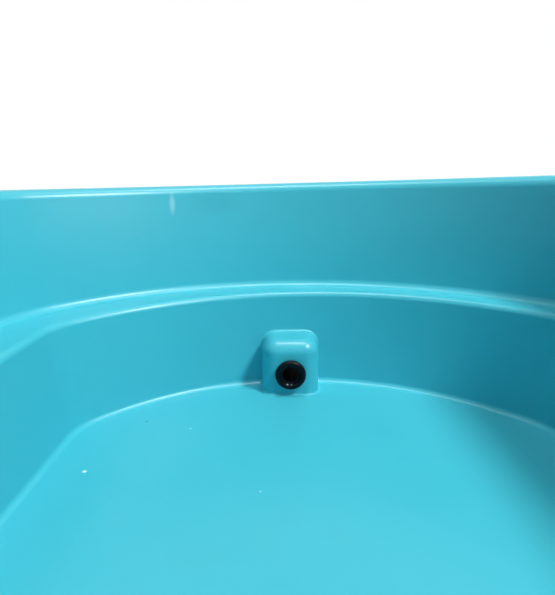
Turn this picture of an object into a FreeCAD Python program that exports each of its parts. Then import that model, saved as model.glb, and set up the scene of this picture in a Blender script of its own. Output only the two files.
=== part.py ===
"""Raised pet bathtub: a one-piece moulded tub with a drain valve, on four pull-out legs.

Millimetres. +X is the drain end, -Y the side where the groomer stands, +Z up.
The origin is on the floor, under the middle of the tub.
"""

import FreeCAD, Part
import math
import os

from FreeCAD import Rotation, Vector

# ---------------------------------------------------------------- driving dimensions
# Height of the work
RIM_HEIGHT = 820.0          # floor of the room to the top of the rim
TUB_DEPTH = 270.0           # tub floor to the top of the rim
LEDGE_HEIGHT = 128.0        # tub floor to the ledge
WALL = 5.5                  # moulded wall

# Upper tub, at the back of the ledge
END_CENTRE_X = 137.0        # centre of the bowed end's arc
END_RADIUS = 390.0
SIDE_HALF = 322.0
CORNER_RADIUS = 130.0
UPPER_LEAN = 14.0           # how far the upper wall leans out
COVE_RADIUS = 10.0          # wall into ledge
RIM_WIDTH = 34.0
RIM_INNER_ROUND = 13.0
RIM_OUTER_ROUND = 10.0
RIM_SKIRT = 32.0
SKIRT_FLARE = 2.0

# Lower basin, at the front edge of the ledge
LEDGE_WIDTH = 43.0          # at the ends, and at the sides before the shift
BASIN_CORNER = 70.0
BASIN_SHIFT = -17.0         # the basin is set towards the groomer
BASIN_LEAN = 8.5
LEDGE_ROUND = 8.0
FLOOR_ROUND = 14.0

# Boss at the foot of the drain end
BOSS_REACH = 54.0           # front edge of the ledge to the boss's face
BOSS_WIDTH = 76.0
BOSS_HEIGHT = 74.0
BOSS_SIDE_ROUND = 13.0
BOSS_TOP_ROUND = 11.0
BOSS_FOOT_FLARE = 6.0

# Drain fitting
DRAIN_HEIGHT = 30.5         # above the tub floor
FLANGE_RADIUS = 20.0
FLANGE_LIP = 6.0
FLANGE_ROUND = 3.6
RECESS_RADIUS = 11.8
RECESS_DEPTH = 5.0
RECESS_CHAMFER = 1.5
FLANGE_BORE = 10.0
THREAD_RADIUS = 13.2        # three-quarter inch pipe thread, outside
SHANK_REACH = 50.0          # boss face to the end of the shank
GASKET_THICK = 2.0
GASKET_RADIUS = 18.6
NUT_FLATS = 36.0
NUT_THICK = 9.0

# Plug valve on the end of the shank
VALVE_FLATS = 34.0
VALVE_BORE = 9.5
VALVE_INLET = 14.0          # depth of the threaded inlet
VALVE_NECK = 16.0           # end of the shank to the plug's axis
BARREL_RADIUS = 18.5
BARREL_MOUTH = 21.0         # plug's axis plane to the barrel's open end
BARREL_END = 17.0           # and to its closed end
PLUG_RADIUS = 14.0
PLUG_END = 13.0             # plug's axis plane to its inner end
PLUG_TOP = 15.5             # and to its shoulder
SEAL_START = 11.0
SEAL_THICK = 2.5
SEAL_DEPTH = 2.0
PLUG_NECK_RADIUS = 7.0
PLUG_TIP_RADIUS = 4.0
CAP_HEAD = 4.0
OUTLET_COLLAR = 1.0         # beyond the barrel
OUTLET_COLLAR_RADIUS = 16.0
OUTLET_THREAD = 15.0
HOSE_THREAD_RADIUS = 13.45  # three-quarter inch hose thread, outside
LEVER_LENGTH = 72.0         # plug's axis to the lever's tip
LEVER_HUB_RADIUS = 11.0
LEVER_TIP_RADIUS = 6.5
LEVER_THICK = 4.0
LEVER_NUT_FLATS = 13.0
LEVER_NUT_THICK = 5.0

# Legs
LEG_INSET = 8.0             # leg centre, in from the back of the ledge at the corner
LEG_RADIUS = 16.0
LEG_WALL = 1.5
SOCKET_WALL = 5.5
SOCKET_DEPTH = 95.0
SOCKET_RIB_REACH = 50.0
FOOT_RADIUS = 20.5
FOOT_BASE = 8.0
FOOT_HEIGHT = 38.0

# Tether eyes, inside the rear wall
EYE_SPACING = 420.0
EYE_BELOW_RIM = 48.0
EYE_WIDTH = 14.0
EYE_THICK = 3.0
EYE_LOOP = 11.0             # inside radius of the raised loop
EYE_LOOP_RISE = 6.0         # straight legs of the loop
EYE_TAB = 16.0              # length of each screwed-down end
EYE_SCREW_RADIUS = 1.75
EYE_SCREW_FLATS = 6.0       # head and nut, across the flats
EYE_HEAD_HEIGHT = 2.6
EYE_NUT_THICK = 2.8
EYE_SCREW_TAIL = 3.0

# Drawing
ROUND_STEPS = 3             # flats that stand for each rounded corner of a section

# Clearances
RUN_FIT = 0.05              # radial, where a shaft turns or a thread engages
SEAT_FIT = 0.3              # radial, where a piece slides or drops in
HOLE_FIT = 0.2              # radial, where a shank passes a moulded wall

# ---------------------------------------------------------------- worked-out places
FLOOR_Z = RIM_HEIGHT - TUB_DEPTH
LEDGE_Z = FLOOR_Z + LEDGE_HEIGHT
LEDGE_UNDER = LEDGE_Z - WALL
BASIN_RADIUS = END_RADIUS - LEDGE_WIDTH
BASIN_HALF = SIDE_HALF - LEDGE_WIDTH
DRAIN_X = END_CENTRE_X + BASIN_RADIUS - BOSS_REACH
DRAIN_Z = FLOOR_Z + DRAIN_HEIGHT
VALVE_START = SHANK_REACH - VALVE_INLET
PLUG_AXIS = SHANK_REACH + VALVE_NECK
OUTLET_START = PLUG_AXIS + BARREL_RADIUS + OUTLET_COLLAR
OUTLET_END = OUTLET_START + OUTLET_THREAD
LEVER_START = BARREL_MOUTH + CAP_HEAD + RUN_FIT
SOCKET_BORE = LEG_RADIUS + SEAT_FIT
SOCKET_RADIUS = SOCKET_BORE + SOCKET_WALL
UPPER_ANGLE = math.degrees(math.atan2(UPPER_LEAN, TUB_DEPTH - LEDGE_HEIGHT))

UP = Vector(0, 0, 1)
ALONG_X = Vector(1, 0, 0)


# ---------------------------------------------------------------- drawing helpers
def rounded(points, radii, steps=ROUND_STEPS):
    """The polyline with each corner of a given radius eased by short flats on a tangent arc."""
    eased = []
    for i, (here, radius) in enumerate(zip(points, radii)):
        if radius <= 0:
            eased.append(here)
            continue
        back = (points[i - 1] - here).normalize()
        ahead = (points[(i + 1) % len(points)] - here).normalize()
        half = back.getAngle(ahead) / 2.0
        centre = here + (back + ahead).normalize() * (radius / math.sin(half))
        first = here + back * (radius / math.tan(half)) - centre
        axis = back.cross(ahead) * -1.0
        turn = math.degrees(math.pi - 2.0 * half)
        for k in range(steps + 1):
            eased.append(centre + Rotation(axis, turn * k / steps).multVec(first))
    return eased


def face_of(points):
    """The flat face inside a closed polyline."""
    return Part.Face(Part.makePolygon(points + points[:1]))


def offset_right(points, distance):
    """The polyline moved to its right by a distance, in the XZ plane."""
    normals = []
    for start, end in zip(points, points[1:]):
        run = (end - start).normalize()
        normals.append(Vector(run.z, 0, -run.x))
    moved = [points[0] + normals[0] * distance]
    for point, before, after in zip(points[1:], normals, normals[1:]):
        mitre = (before + after) * (distance / (1.0 + before.dot(after)))
        moved.append(point + mitre)
    moved.append(points[-1] + normals[-1] * distance)
    return moved


def strip(skin, radii, thickness):
    """A wall of even thickness behind a skin line that is rounded at its corners."""
    back = offset_right(skin, thickness)
    return face_of(rounded(skin, radii) + back[::-1])


def turned(points, radii=None, steps=ROUND_STEPS):
    """A solid of revolution about the X axis, from (along, radius) points."""
    corners = [Vector(along, 0, radius) for along, radius in points]
    outline = rounded(corners, radii or [0] * len(corners), steps)
    return face_of(outline).revolve(Vector(0, 0, 0), ALONG_X, 360)


def tube(start, end, inner, outer):
    """A plain ring about the X axis."""
    return turned([(start, inner), (end, inner), (end, outer), (start, outer)])


def rod(start, end, radius):
    """A plain cylinder about the X axis."""
    return Part.makeCylinder(radius, end - start, Vector(start, 0, 0), ALONG_X)


def hexagon(start, end, flats):
    """A hexagonal prism about the X axis."""
    corner = flats / math.sqrt(3.0)
    points = [Vector(start, corner * math.cos(k * math.pi / 3), corner * math.sin(k * math.pi / 3))
              for k in range(6)]
    return face_of(points).extrude(Vector(end - start, 0, 0))


def block(low, high):
    """A box between two corners."""
    size = high - low
    return Part.makeBox(size.x, size.y, size.z, low)


def fused(pieces):
    """One clean solid from touching or overlapping pieces."""
    return pieces[0].multiFuse(pieces[1:]).removeSplitter()


def placed(shape, position, rotation=Rotation()):
    """A copy of the shape, turned and then moved."""
    copy = shape.copy()
    copy.Placement = FreeCAD.Placement(position, rotation).multiply(copy.Placement)
    return copy


# ---------------------------------------------------------------- plan outlines
class Outline:
    """A tub's plan: straight sides, bowed ends and corner arcs, all tangent to each other."""

    def __init__(self, end_radius, side_half, corner_radius, shift):
        self.end_radius = end_radius
        self.side_half = side_half
        self.corner_radius = corner_radius
        self.shift = shift
        self.corner_y = side_half - corner_radius
        between = end_radius - corner_radius
        self.corner_x = END_CENTRE_X + math.sqrt(between ** 2 - self.corner_y ** 2)
        self.turn = math.degrees(math.asin(self.corner_y / between))

    def arcs(self):
        """Centre, radius, first angle and sweep of the six arcs, anticlockwise."""
        ends = []
        for side, base in ((1, 0.0), (-1, 180.0)):
            ends.append((side * END_CENTRE_X, 0.0, self.end_radius, base - self.turn, 2 * self.turn))
        corners = []
        for side_x, side_y, first in ((1, 1, self.turn), (-1, 1, 90.0),
                                      (-1, -1, 180.0 + self.turn), (1, -1, 270.0)):
            centre = (side_x * self.corner_x, side_y * self.corner_y)
            corners.append((*centre, self.corner_radius, first, 90.0 - self.turn))
        return [(x, y + self.shift, radius, first, sweep)
                for x, y, radius, first, sweep in ends + corners]

    def around(self, section):
        """The section's (outward, up) face carried once round the outline."""
        pieces = []
        for x, y, radius, first, sweep in self.arcs():
            centre = Vector(x, y, 0)
            start = placed(placed(section, Vector(radius, 0, 0)), centre, Rotation(UP, first))
            pieces.append(start.revolve(centre, UP, sweep))
        for side in (1, -1):
            corner = Vector(side * self.corner_x, side * self.side_half + self.shift, 0)
            start = placed(section, corner, Rotation(UP, side * 90.0))
            pieces.append(start.extrude(Vector(-2 * side * self.corner_x, 0, 0)))
        return pieces

    def wire(self, outward, height):
        """The outline, grown outward, as a closed wire at a height."""
        edges = []
        for x, y, radius, first, sweep in self.arcs():
            circle = Part.Circle(Vector(x, y, height), UP, radius + outward)
            edges.append(Part.Arc(circle, math.radians(first), math.radians(first + sweep)).toShape())
        reach = self.side_half + outward
        for side in (1, -1):
            y = side * reach + self.shift
            edges.append(Part.LineSegment(Vector(-self.corner_x, y, height),
                                          Vector(self.corner_x, y, height)).toShape())
        return Part.Wire(Part.__sortEdges__(edges))

    def plate(self, outward, top, thickness):
        """A flat plate of the grown outline, hanging down from its top."""
        return Part.Face(self.wire(outward, top)).extrude(Vector(0, 0, -thickness))


UPPER = Outline(END_RADIUS, SIDE_HALF, CORNER_RADIUS, 0.0)
BASIN = Outline(BASIN_RADIUS, BASIN_HALF, BASIN_CORNER, BASIN_SHIFT)


def corner_legs():
    """Name, place and outward direction of each leg."""
    radius = CORNER_RADIUS - LEG_INSET
    out = math.cos(math.radians(45.0))
    legs = []
    for end, side_x in (("drain", 1), ("head", -1)):
        for side, side_y in (("front", -1), ("rear", 1)):
            outward = Vector(side_x * out, side_y * out, 0)
            corner = Vector(side_x * UPPER.corner_x, side_y * UPPER.corner_y, 0)
            legs.append((f"{side}_{end}", corner + outward * radius, outward))
    return legs


# ---------------------------------------------------------------- moulded tub
def upper_section():
    """Ledge cove, upper wall, rolled rim and skirt."""
    top = RIM_HEIGHT
    rim_edge = UPPER_LEAN + RIM_WIDTH
    skin = [Vector(-COVE_RADIUS, 0, LEDGE_Z), Vector(0, 0, LEDGE_Z), Vector(UPPER_LEAN, 0, top),
            Vector(rim_edge, 0, top), Vector(rim_edge + SKIRT_FLARE, 0, top - RIM_SKIRT)]
    return strip(skin, [0, COVE_RADIUS, RIM_INNER_ROUND, RIM_OUTER_ROUND, 0], WALL)


def lower_section():
    """Floor cove, lower wall and the rounded front of the ledge."""
    skin = [Vector(-BASIN_LEAN - FLOOR_ROUND, 0, FLOOR_Z), Vector(-BASIN_LEAN, 0, FLOOR_Z),
            Vector(0, 0, LEDGE_Z), Vector(LEDGE_ROUND, 0, LEDGE_Z)]
    return strip(skin, [0, FLOOR_ROUND, LEDGE_ROUND, 0], WALL)


def basin_solid(outward, below):
    """The lower basin as a solid block, its wall faces moved outward."""
    drop = BASIN_LEAN * below / LEDGE_HEIGHT
    wires = [BASIN.wire(outward - BASIN_LEAN - drop, FLOOR_Z - below), BASIN.wire(outward, LEDGE_Z)]
    return Part.makeLoft(wires, True, True)


def rounded_block(face_x, back_x, half_width, low_z, top_z, side_round, top_round):
    """A box with its two upright front edges and its top edges rounded."""
    box = block(Vector(face_x, -half_width, low_z), Vector(back_x, half_width, top_z))
    upright = [e for e in box.Edges
               if e.BoundBox.ZLength > 1 and abs(e.CenterOfMass.x - face_x) < 1e-6]
    box = box.makeFillet(side_round, upright)
    top = [e for e in box.Edges
           if e.BoundBox.ZLength < 1e-6 and abs(e.CenterOfMass.z - top_z) < 1e-6
           and e.CenterOfMass.x < back_x - 1e-6]
    return box.makeFillet(top_round, top)


def drain_boss():
    """The boss, ending inside the thickness of the tub's wall."""
    outside = rounded_block(DRAIN_X, DRAIN_X + 2 * BOSS_REACH, BOSS_WIDTH / 2.0, FLOOR_Z - WALL,
                            FLOOR_Z + BOSS_HEIGHT, BOSS_SIDE_ROUND, BOSS_TOP_ROUND)
    return outside.common(basin_solid(WALL / 2.0, WALL))


def boss_footprint(grow, height):
    """The boss's plan, grown by a margin, as a closed wire that runs on into the wall."""
    face = DRAIN_X - grow
    back = DRAIN_X + 2 * BOSS_REACH
    half = BOSS_WIDTH / 2.0 + grow
    radius = BOSS_SIDE_ROUND + grow
    corners = [Vector(back, half, height), Vector(face, half, height),
               Vector(face, -half, height), Vector(back, -half, height)]
    return Part.makePolygon(rounded(corners + corners[:1], [0, radius, radius, 0, 0]))


def boss_foot():
    """The flare where the boss meets the floor."""
    wires = [boss_footprint(BOSS_FOOT_FLARE, FLOOR_Z), boss_footprint(0.0, FLOOR_Z + BOSS_FOOT_FLARE)]
    return Part.makeLoft(wires, True, True).common(basin_solid(WALL / 2.0, WALL))


def drain_pocket():
    """The hollow behind the boss, open below and to the outside."""
    half = BOSS_WIDTH / 2.0 - WALL
    hollow = rounded_block(DRAIN_X + WALL, DRAIN_X + 2 * BOSS_REACH, half, FLOOR_Z - LEDGE_HEIGHT,
                           FLOOR_Z + BOSS_HEIGHT - WALL, BOSS_SIDE_ROUND - WALL,
                           BOSS_TOP_ROUND - WALL)
    hole = rod(DRAIN_X - WALL, DRAIN_X + 2 * WALL, THREAD_RADIUS + HOLE_FIT)
    return hollow.fuse(placed(hole, Vector(0, 0, DRAIN_Z)))


def leg_socket(place, outward):
    """A tubular socket under the ledge and its rib to the basin."""
    height = WALL + SOCKET_DEPTH
    barrel = Part.makeCylinder(SOCKET_RADIUS, height, place + UP * (LEDGE_Z - height))
    rib = block(Vector(-SOCKET_RIB_REACH, -WALL / 2.0, LEDGE_UNDER - SOCKET_DEPTH),
                Vector(0, WALL / 2.0, LEDGE_UNDER))
    return barrel.fuse(placed(rib, place, Rotation(ALONG_X, outward)))


def socket_bore(place):
    """The hollow that the leg pushes up into."""
    return Part.makeCylinder(SOCKET_BORE, SOCKET_DEPTH, place + UP * (LEDGE_UNDER - SOCKET_DEPTH))


def eye_places():
    """Where the tether eyes sit on the rear wall's inner face, left to right."""
    lean = math.radians(UPPER_ANGLE)
    down_wall = Vector(0, -math.sin(lean), -math.cos(lean))
    top = Vector(0, SIDE_HALF + UPPER_LEAN, RIM_HEIGHT)
    middle = top + down_wall * (EYE_BELOW_RIM / math.cos(lean))
    return [middle + ALONG_X * (side * EYE_SPACING / 2.0) for side in (-1, 1)]


def screw_offsets():
    """The two screws of one eye, along the rim."""
    reach = EYE_LOOP + EYE_THICK + EYE_TAB / 2.0
    return [ALONG_X * (side * reach) for side in (-1, 1)]


def on_rear_wall(shape, place):
    """A shape drawn on the XY plane, facing +Z, laid on the rear wall to face the tub."""
    return placed(shape, place, Rotation(ALONG_X, 90.0 - UPPER_ANGLE))


def at_each_screw(shape):
    """One copy of the shape at every screw of both eyes."""
    return [on_rear_wall(placed(shape, offset), place)
            for place in eye_places() for offset in screw_offsets()]


def tub_shell():
    """The whole moulding."""
    plates = [BASIN.plate(-BASIN_LEAN - FLOOR_ROUND, FLOOR_Z, WALL)]
    ledge = UPPER.plate(-COVE_RADIUS, LEDGE_Z, WALL)
    plates.append(ledge.cut(BASIN.plate(LEDGE_ROUND, LEDGE_Z, WALL)))
    walls = UPPER.around(upper_section()) + BASIN.around(lower_section())
    cavity = basin_solid(0.0, 0.0)
    sockets = [leg_socket(place, outward).cut(cavity) for _, place, outward in corner_legs()]
    shell = fused(walls + plates + [drain_boss(), boss_foot()] + sockets)
    bores = [socket_bore(place) for _, place, _ in corner_legs()]
    screw_hole = Part.makeCylinder(EYE_SCREW_RADIUS + HOLE_FIT, 4 * WALL, Vector(0, 0, -2 * WALL))
    return shell.cut(drain_pocket().multiFuse(bores + at_each_screw(screw_hole)))


# ---------------------------------------------------------------- drain fitting
def at_drain(shape):
    """A shape drawn about the X axis, from the boss's face, put on the drain's axis."""
    return placed(shape, Vector(DRAIN_X, 0, DRAIN_Z))


def drain_flange():
    """Rounded lip, stepped recess and threaded shank."""
    back = -GASKET_THICK
    front = back - FLANGE_LIP
    points = [(back, THREAD_RADIUS), (back, FLANGE_RADIUS), (front, FLANGE_RADIUS),
              (front, RECESS_RADIUS + RECESS_CHAMFER), (front + RECESS_CHAMFER, RECESS_RADIUS),
              (front + RECESS_DEPTH, RECESS_RADIUS), (front + RECESS_DEPTH, FLANGE_BORE),
              (SHANK_REACH, FLANGE_BORE), (SHANK_REACH, THREAD_RADIUS)]
    return turned(points, [0, 0, FLANGE_ROUND, 0, 0, 0, 0, 0, 0], ROUND_STEPS - 1)


def flange_gasket():
    """Soft ring between the flange and the boss."""
    return tube(-GASKET_THICK, 0, THREAD_RADIUS + RUN_FIT, GASKET_RADIUS)


def drain_nut():
    """Hexagon nut that clamps the fitting to the boss."""
    bore = rod(WALL, WALL + NUT_THICK, THREAD_RADIUS + RUN_FIT)
    return hexagon(WALL, WALL + NUT_THICK, NUT_FLATS).cut(bore)


# ---------------------------------------------------------------- plug valve
def about_plug(shape):
    """A shape drawn about the X axis, turned to stand across the pipe towards -Y."""
    return placed(shape, Vector(PLUG_AXIS, 0, 0), Rotation(ALONG_X, Vector(0, -1, 0)))


def valve_body():
    """Hexagonal inlet, cross barrel for the plug, and a threaded outlet spigot."""
    inlet = hexagon(VALVE_START, PLUG_AXIS, VALVE_FLATS)
    barrel = about_plug(rod(-BARREL_END, BARREL_MOUTH, BARREL_RADIUS))
    collar = rod(PLUG_AXIS, OUTLET_START, OUTLET_COLLAR_RADIUS)
    spigot = rod(OUTLET_START, OUTLET_END, HOSE_THREAD_RADIUS)
    cuts = [rod(SHANK_REACH, OUTLET_END, VALVE_BORE),
            rod(VALVE_START, SHANK_REACH, THREAD_RADIUS + RUN_FIT),
            about_plug(rod(-PLUG_END - RUN_FIT, BARREL_MOUTH, PLUG_RADIUS + RUN_FIT))]
    return fused([inlet, barrel, collar, spigot]).cut(cuts[0].multiFuse(cuts[1:]))


def valve_plug():
    """Cross-bored plug with a seal groove, a neck and a tip, standing open."""
    groove = PLUG_RADIUS - SEAL_DEPTH
    tip = LEVER_START + LEVER_THICK + LEVER_NUT_THICK + 1.0
    body = turned([(-PLUG_END, 0), (-PLUG_END, PLUG_RADIUS), (SEAL_START, PLUG_RADIUS),
                   (SEAL_START, groove), (SEAL_START + SEAL_THICK, groove),
                   (SEAL_START + SEAL_THICK, PLUG_RADIUS), (PLUG_TOP, PLUG_RADIUS),
                   (PLUG_TOP, PLUG_NECK_RADIUS), (LEVER_START, PLUG_NECK_RADIUS),
                   (LEVER_START, PLUG_TIP_RADIUS), (tip, PLUG_TIP_RADIUS), (tip, 0)])
    port = rod(PLUG_AXIS - PLUG_RADIUS, PLUG_AXIS + PLUG_RADIUS, VALVE_BORE)
    return about_plug(body).cut(port)


def plug_seal():
    """Soft ring in the plug's groove."""
    return about_plug(tube(SEAL_START, SEAL_START + SEAL_THICK, PLUG_RADIUS - SEAL_DEPTH, PLUG_RADIUS))


def valve_cap():
    """Screwed ring with a hexagonal head that keeps the plug in its barrel."""
    start = PLUG_TOP + RUN_FIT
    end = BARREL_MOUTH + CAP_HEAD
    solid = rod(start, end, PLUG_RADIUS).fuse(hexagon(BARREL_MOUTH, end, VALVE_FLATS))
    return about_plug(solid.cut(rod(start, end, PLUG_NECK_RADIUS + RUN_FIT)).removeSplitter())


def valve_lever():
    """Tapered lever, in line with the pipe while the valve is open."""
    reach = LEVER_LENGTH - LEVER_TIP_RADIUS
    lean = math.asin((LEVER_HUB_RADIUS - LEVER_TIP_RADIUS) / reach)
    flanks = []
    for side in (1, -1):
        normal = Vector(math.sin(lean), 0, side * math.cos(lean))
        flanks.append((normal * LEVER_HUB_RADIUS, Vector(reach, 0, 0) + normal * LEVER_TIP_RADIUS))
    (hub_high, tip_high), (hub_low, tip_low) = flanks
    edges = [Part.LineSegment(hub_high, tip_high),
             Part.Arc(tip_high, Vector(LEVER_LENGTH, 0, 0), tip_low),
             Part.LineSegment(tip_low, hub_low),
             Part.Arc(hub_low, Vector(-LEVER_HUB_RADIUS, 0, 0), hub_high)]
    plate = Part.Face(Part.Wire([edge.toShape() for edge in edges])).extrude(Vector(0, -LEVER_THICK, 0))
    hole = about_plug(rod(0, 2 * LEVER_START, PLUG_TIP_RADIUS + RUN_FIT))
    return placed(plate, Vector(PLUG_AXIS, -LEVER_START, 0)).cut(hole)


def lever_nut():
    """Nut that holds the lever on the plug."""
    start = LEVER_START + LEVER_THICK
    end = start + LEVER_NUT_THICK
    return about_plug(hexagon(start, end, LEVER_NUT_FLATS).cut(rod(start, end, PLUG_TIP_RADIUS + RUN_FIT)))


# ---------------------------------------------------------------- legs
def upright(shape, place):
    """A shape drawn about the X axis stood up at a leg's place."""
    return placed(shape, place, Rotation(ALONG_X, UP))


def leg_tube(place):
    """Steel tube from the foot's floor to the top of the socket."""
    return upright(tube(FOOT_BASE, LEDGE_UNDER, LEG_RADIUS - LEG_WALL, LEG_RADIUS), place)


def leg_foot(place):
    """Rubber cup with the tube standing on its floor."""
    bore = LEG_RADIUS + RUN_FIT
    return upright(turned([(0, 0), (0, FOOT_RADIUS), (FOOT_HEIGHT, FOOT_RADIUS), (FOOT_HEIGHT, bore),
                           (FOOT_BASE, bore), (FOOT_BASE, 0)]), place)


# ---------------------------------------------------------------- tether eyes
def tether_eye(place):
    """Steel strap bent up into a loop between two screwed-down tabs."""
    inner = EYE_LOOP
    outer = EYE_LOOP + EYE_THICK
    foot = outer + EYE_TAB
    tabs = block(Vector(-foot, -EYE_WIDTH / 2.0, 0), Vector(foot, EYE_WIDTH / 2.0, EYE_THICK))
    legs = block(Vector(-outer, -EYE_WIDTH / 2.0, 0), Vector(outer, EYE_WIDTH / 2.0, EYE_LOOP_RISE))
    crown = Part.makeCylinder(outer, EYE_WIDTH, Vector(0, -EYE_WIDTH / 2.0, EYE_LOOP_RISE), Vector(0, 1, 0))
    gap = Part.makeCylinder(inner, EYE_WIDTH, Vector(0, -EYE_WIDTH / 2.0, EYE_LOOP_RISE), Vector(0, 1, 0))
    below = block(Vector(-inner, -EYE_WIDTH / 2.0, -outer), Vector(inner, EYE_WIDTH / 2.0, EYE_LOOP_RISE))
    under = block(Vector(-foot, -EYE_WIDTH, -outer), Vector(foot, EYE_WIDTH, 0))
    hole = Part.makeCylinder(EYE_SCREW_RADIUS + RUN_FIT, EYE_THICK)
    holes = [placed(hole, offset) for offset in screw_offsets()]
    strap = fused([tabs, legs, crown]).cut(gap.multiFuse([below, under] + holes))
    return on_rear_wall(strap, place)


def eye_screw():
    """Hexagon-headed screw through the tab and the wall."""
    tail = -(WALL + EYE_NUT_THICK + EYE_SCREW_TAIL)
    head = hexagon(EYE_THICK, EYE_THICK + EYE_HEAD_HEIGHT, EYE_SCREW_FLATS)
    return placed(rod(tail, EYE_THICK, EYE_SCREW_RADIUS).fuse(head), Vector(), Rotation(ALONG_X, UP))


def eye_nut():
    """Hexagon nut behind the wall."""
    start = -WALL - EYE_NUT_THICK
    nut = hexagon(start, -WALL, EYE_SCREW_FLATS).cut(rod(start, -WALL, EYE_SCREW_RADIUS + RUN_FIT))
    return placed(nut, Vector(), Rotation(ALONG_X, UP))


# ---------------------------------------------------------------- nodes
def nodes():
    """Every node's name and shape."""
    parts = {
        "tub_shell": tub_shell(),
        "drain_flange": at_drain(drain_flange()),
        "flange_gasket": at_drain(flange_gasket()),
        "drain_nut": at_drain(drain_nut()),
        "valve_body": at_drain(valve_body()),
        "valve_plug": at_drain(valve_plug()),
        "plug_seal": at_drain(plug_seal()),
        "valve_cap": at_drain(valve_cap()),
        "valve_lever": at_drain(valve_lever()),
        "lever_nut": at_drain(lever_nut()),
        "eye_screws": Part.makeCompound(at_each_screw(eye_screw())),
        "eye_nuts": Part.makeCompound(at_each_screw(eye_nut())),
    }
    for name, place in zip(("tether_eye_head", "tether_eye_drain"), eye_places()):
        parts[name] = tether_eye(place)
    for name, place, _ in corner_legs():
        parts[f"leg_tube_{name}"] = leg_tube(place)
        parts[f"leg_foot_{name}"] = leg_foot(place)
    return parts


def main():
    """Write one STEP file per node."""
    os.makedirs("parts", exist_ok=True)
    for name, shape in nodes().items():
        shape.exportStep(f"parts/{name}.step")
        volume = shape.Volume / 1000.0
        print(f"{name}: {len(shape.Solids)} solid(s), {volume:.2f} cm3, valid {shape.isValid()}")


main()
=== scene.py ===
"""The looks of a raised pet bathtub: a moulded tub with an end drain, a plug valve and four pull-out legs.

Sizes in the classes are millimetres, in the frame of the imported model: +X is the drain end, -Y the
groomer's side, +Z up, and the origin is on the floor under the middle of the tub.
"""

import logging
import math
from dataclasses import dataclass, field
from enum import Enum
from typing import Callable, Sequence

import bmesh
import bpy
from mathutils import Matrix, Vector


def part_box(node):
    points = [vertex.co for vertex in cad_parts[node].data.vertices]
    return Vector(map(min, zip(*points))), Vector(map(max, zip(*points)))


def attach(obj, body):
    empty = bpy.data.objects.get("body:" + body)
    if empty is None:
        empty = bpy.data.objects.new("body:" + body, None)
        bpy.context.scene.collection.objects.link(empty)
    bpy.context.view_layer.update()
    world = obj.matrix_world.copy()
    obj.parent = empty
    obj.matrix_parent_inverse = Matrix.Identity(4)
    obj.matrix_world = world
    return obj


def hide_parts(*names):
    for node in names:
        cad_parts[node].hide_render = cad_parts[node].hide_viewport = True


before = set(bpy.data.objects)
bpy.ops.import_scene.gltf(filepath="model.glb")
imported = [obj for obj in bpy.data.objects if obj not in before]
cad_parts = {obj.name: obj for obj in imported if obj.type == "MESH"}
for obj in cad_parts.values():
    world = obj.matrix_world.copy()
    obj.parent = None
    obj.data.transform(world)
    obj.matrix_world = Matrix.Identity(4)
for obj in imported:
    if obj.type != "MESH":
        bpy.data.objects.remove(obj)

LOG = logging.getLogger("pet_bathtub")
MM = 0.001
TOUCH = 0.1  # how near to a plane, in millimetres, counts as on it
FLUSH = 0.05  # the same for a loop of edges that lies in the plane
SPOT = 1e-3  # how near to a point, in millimetres, counts as that point
WELD = 2e-5  # how near, in metres, two points are made one
RUN_FIT = 0.05  # radial clearance where a shaft turns or a thread engages
WORN_FINER = 4.0  # how many times finer the worn patches are than a finish's drift in colour
DRIFT_NOISE = (0.38, 0.72)  # the values of the noise between which a colour drifts
WORN_NOISE = (0.35, 0.7)  # the values of the noise between which a skin gets rougher

Thing = bpy.types.Object
Tree = bpy.types.NodeTree
Socket = bpy.types.NodeSocket
Material = bpy.types.Material


# ------------------------------------------------------------------------------------------ bench
class Pick(Enum):
    """What a selection in edit mode takes hold of."""

    POINTS = (True, False, False)
    EDGES = (False, True, False)
    FACES = (False, False, True)


@dataclass(frozen=True)
class Axle:
    """A straight line that round pieces are turned about.

    Attributes:
        origin: A point of the line, in millimetres.
        along: The line's direction.
        out: A direction square to it, in which radii are measured.
    """

    origin: Vector
    along: Vector
    out: Vector

    def at(self, along: float, radius: float = 0.0) -> Vector:
        """The point that far along the line and that far out from it."""
        return self.origin + self.along * along + self.out * radius


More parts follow.
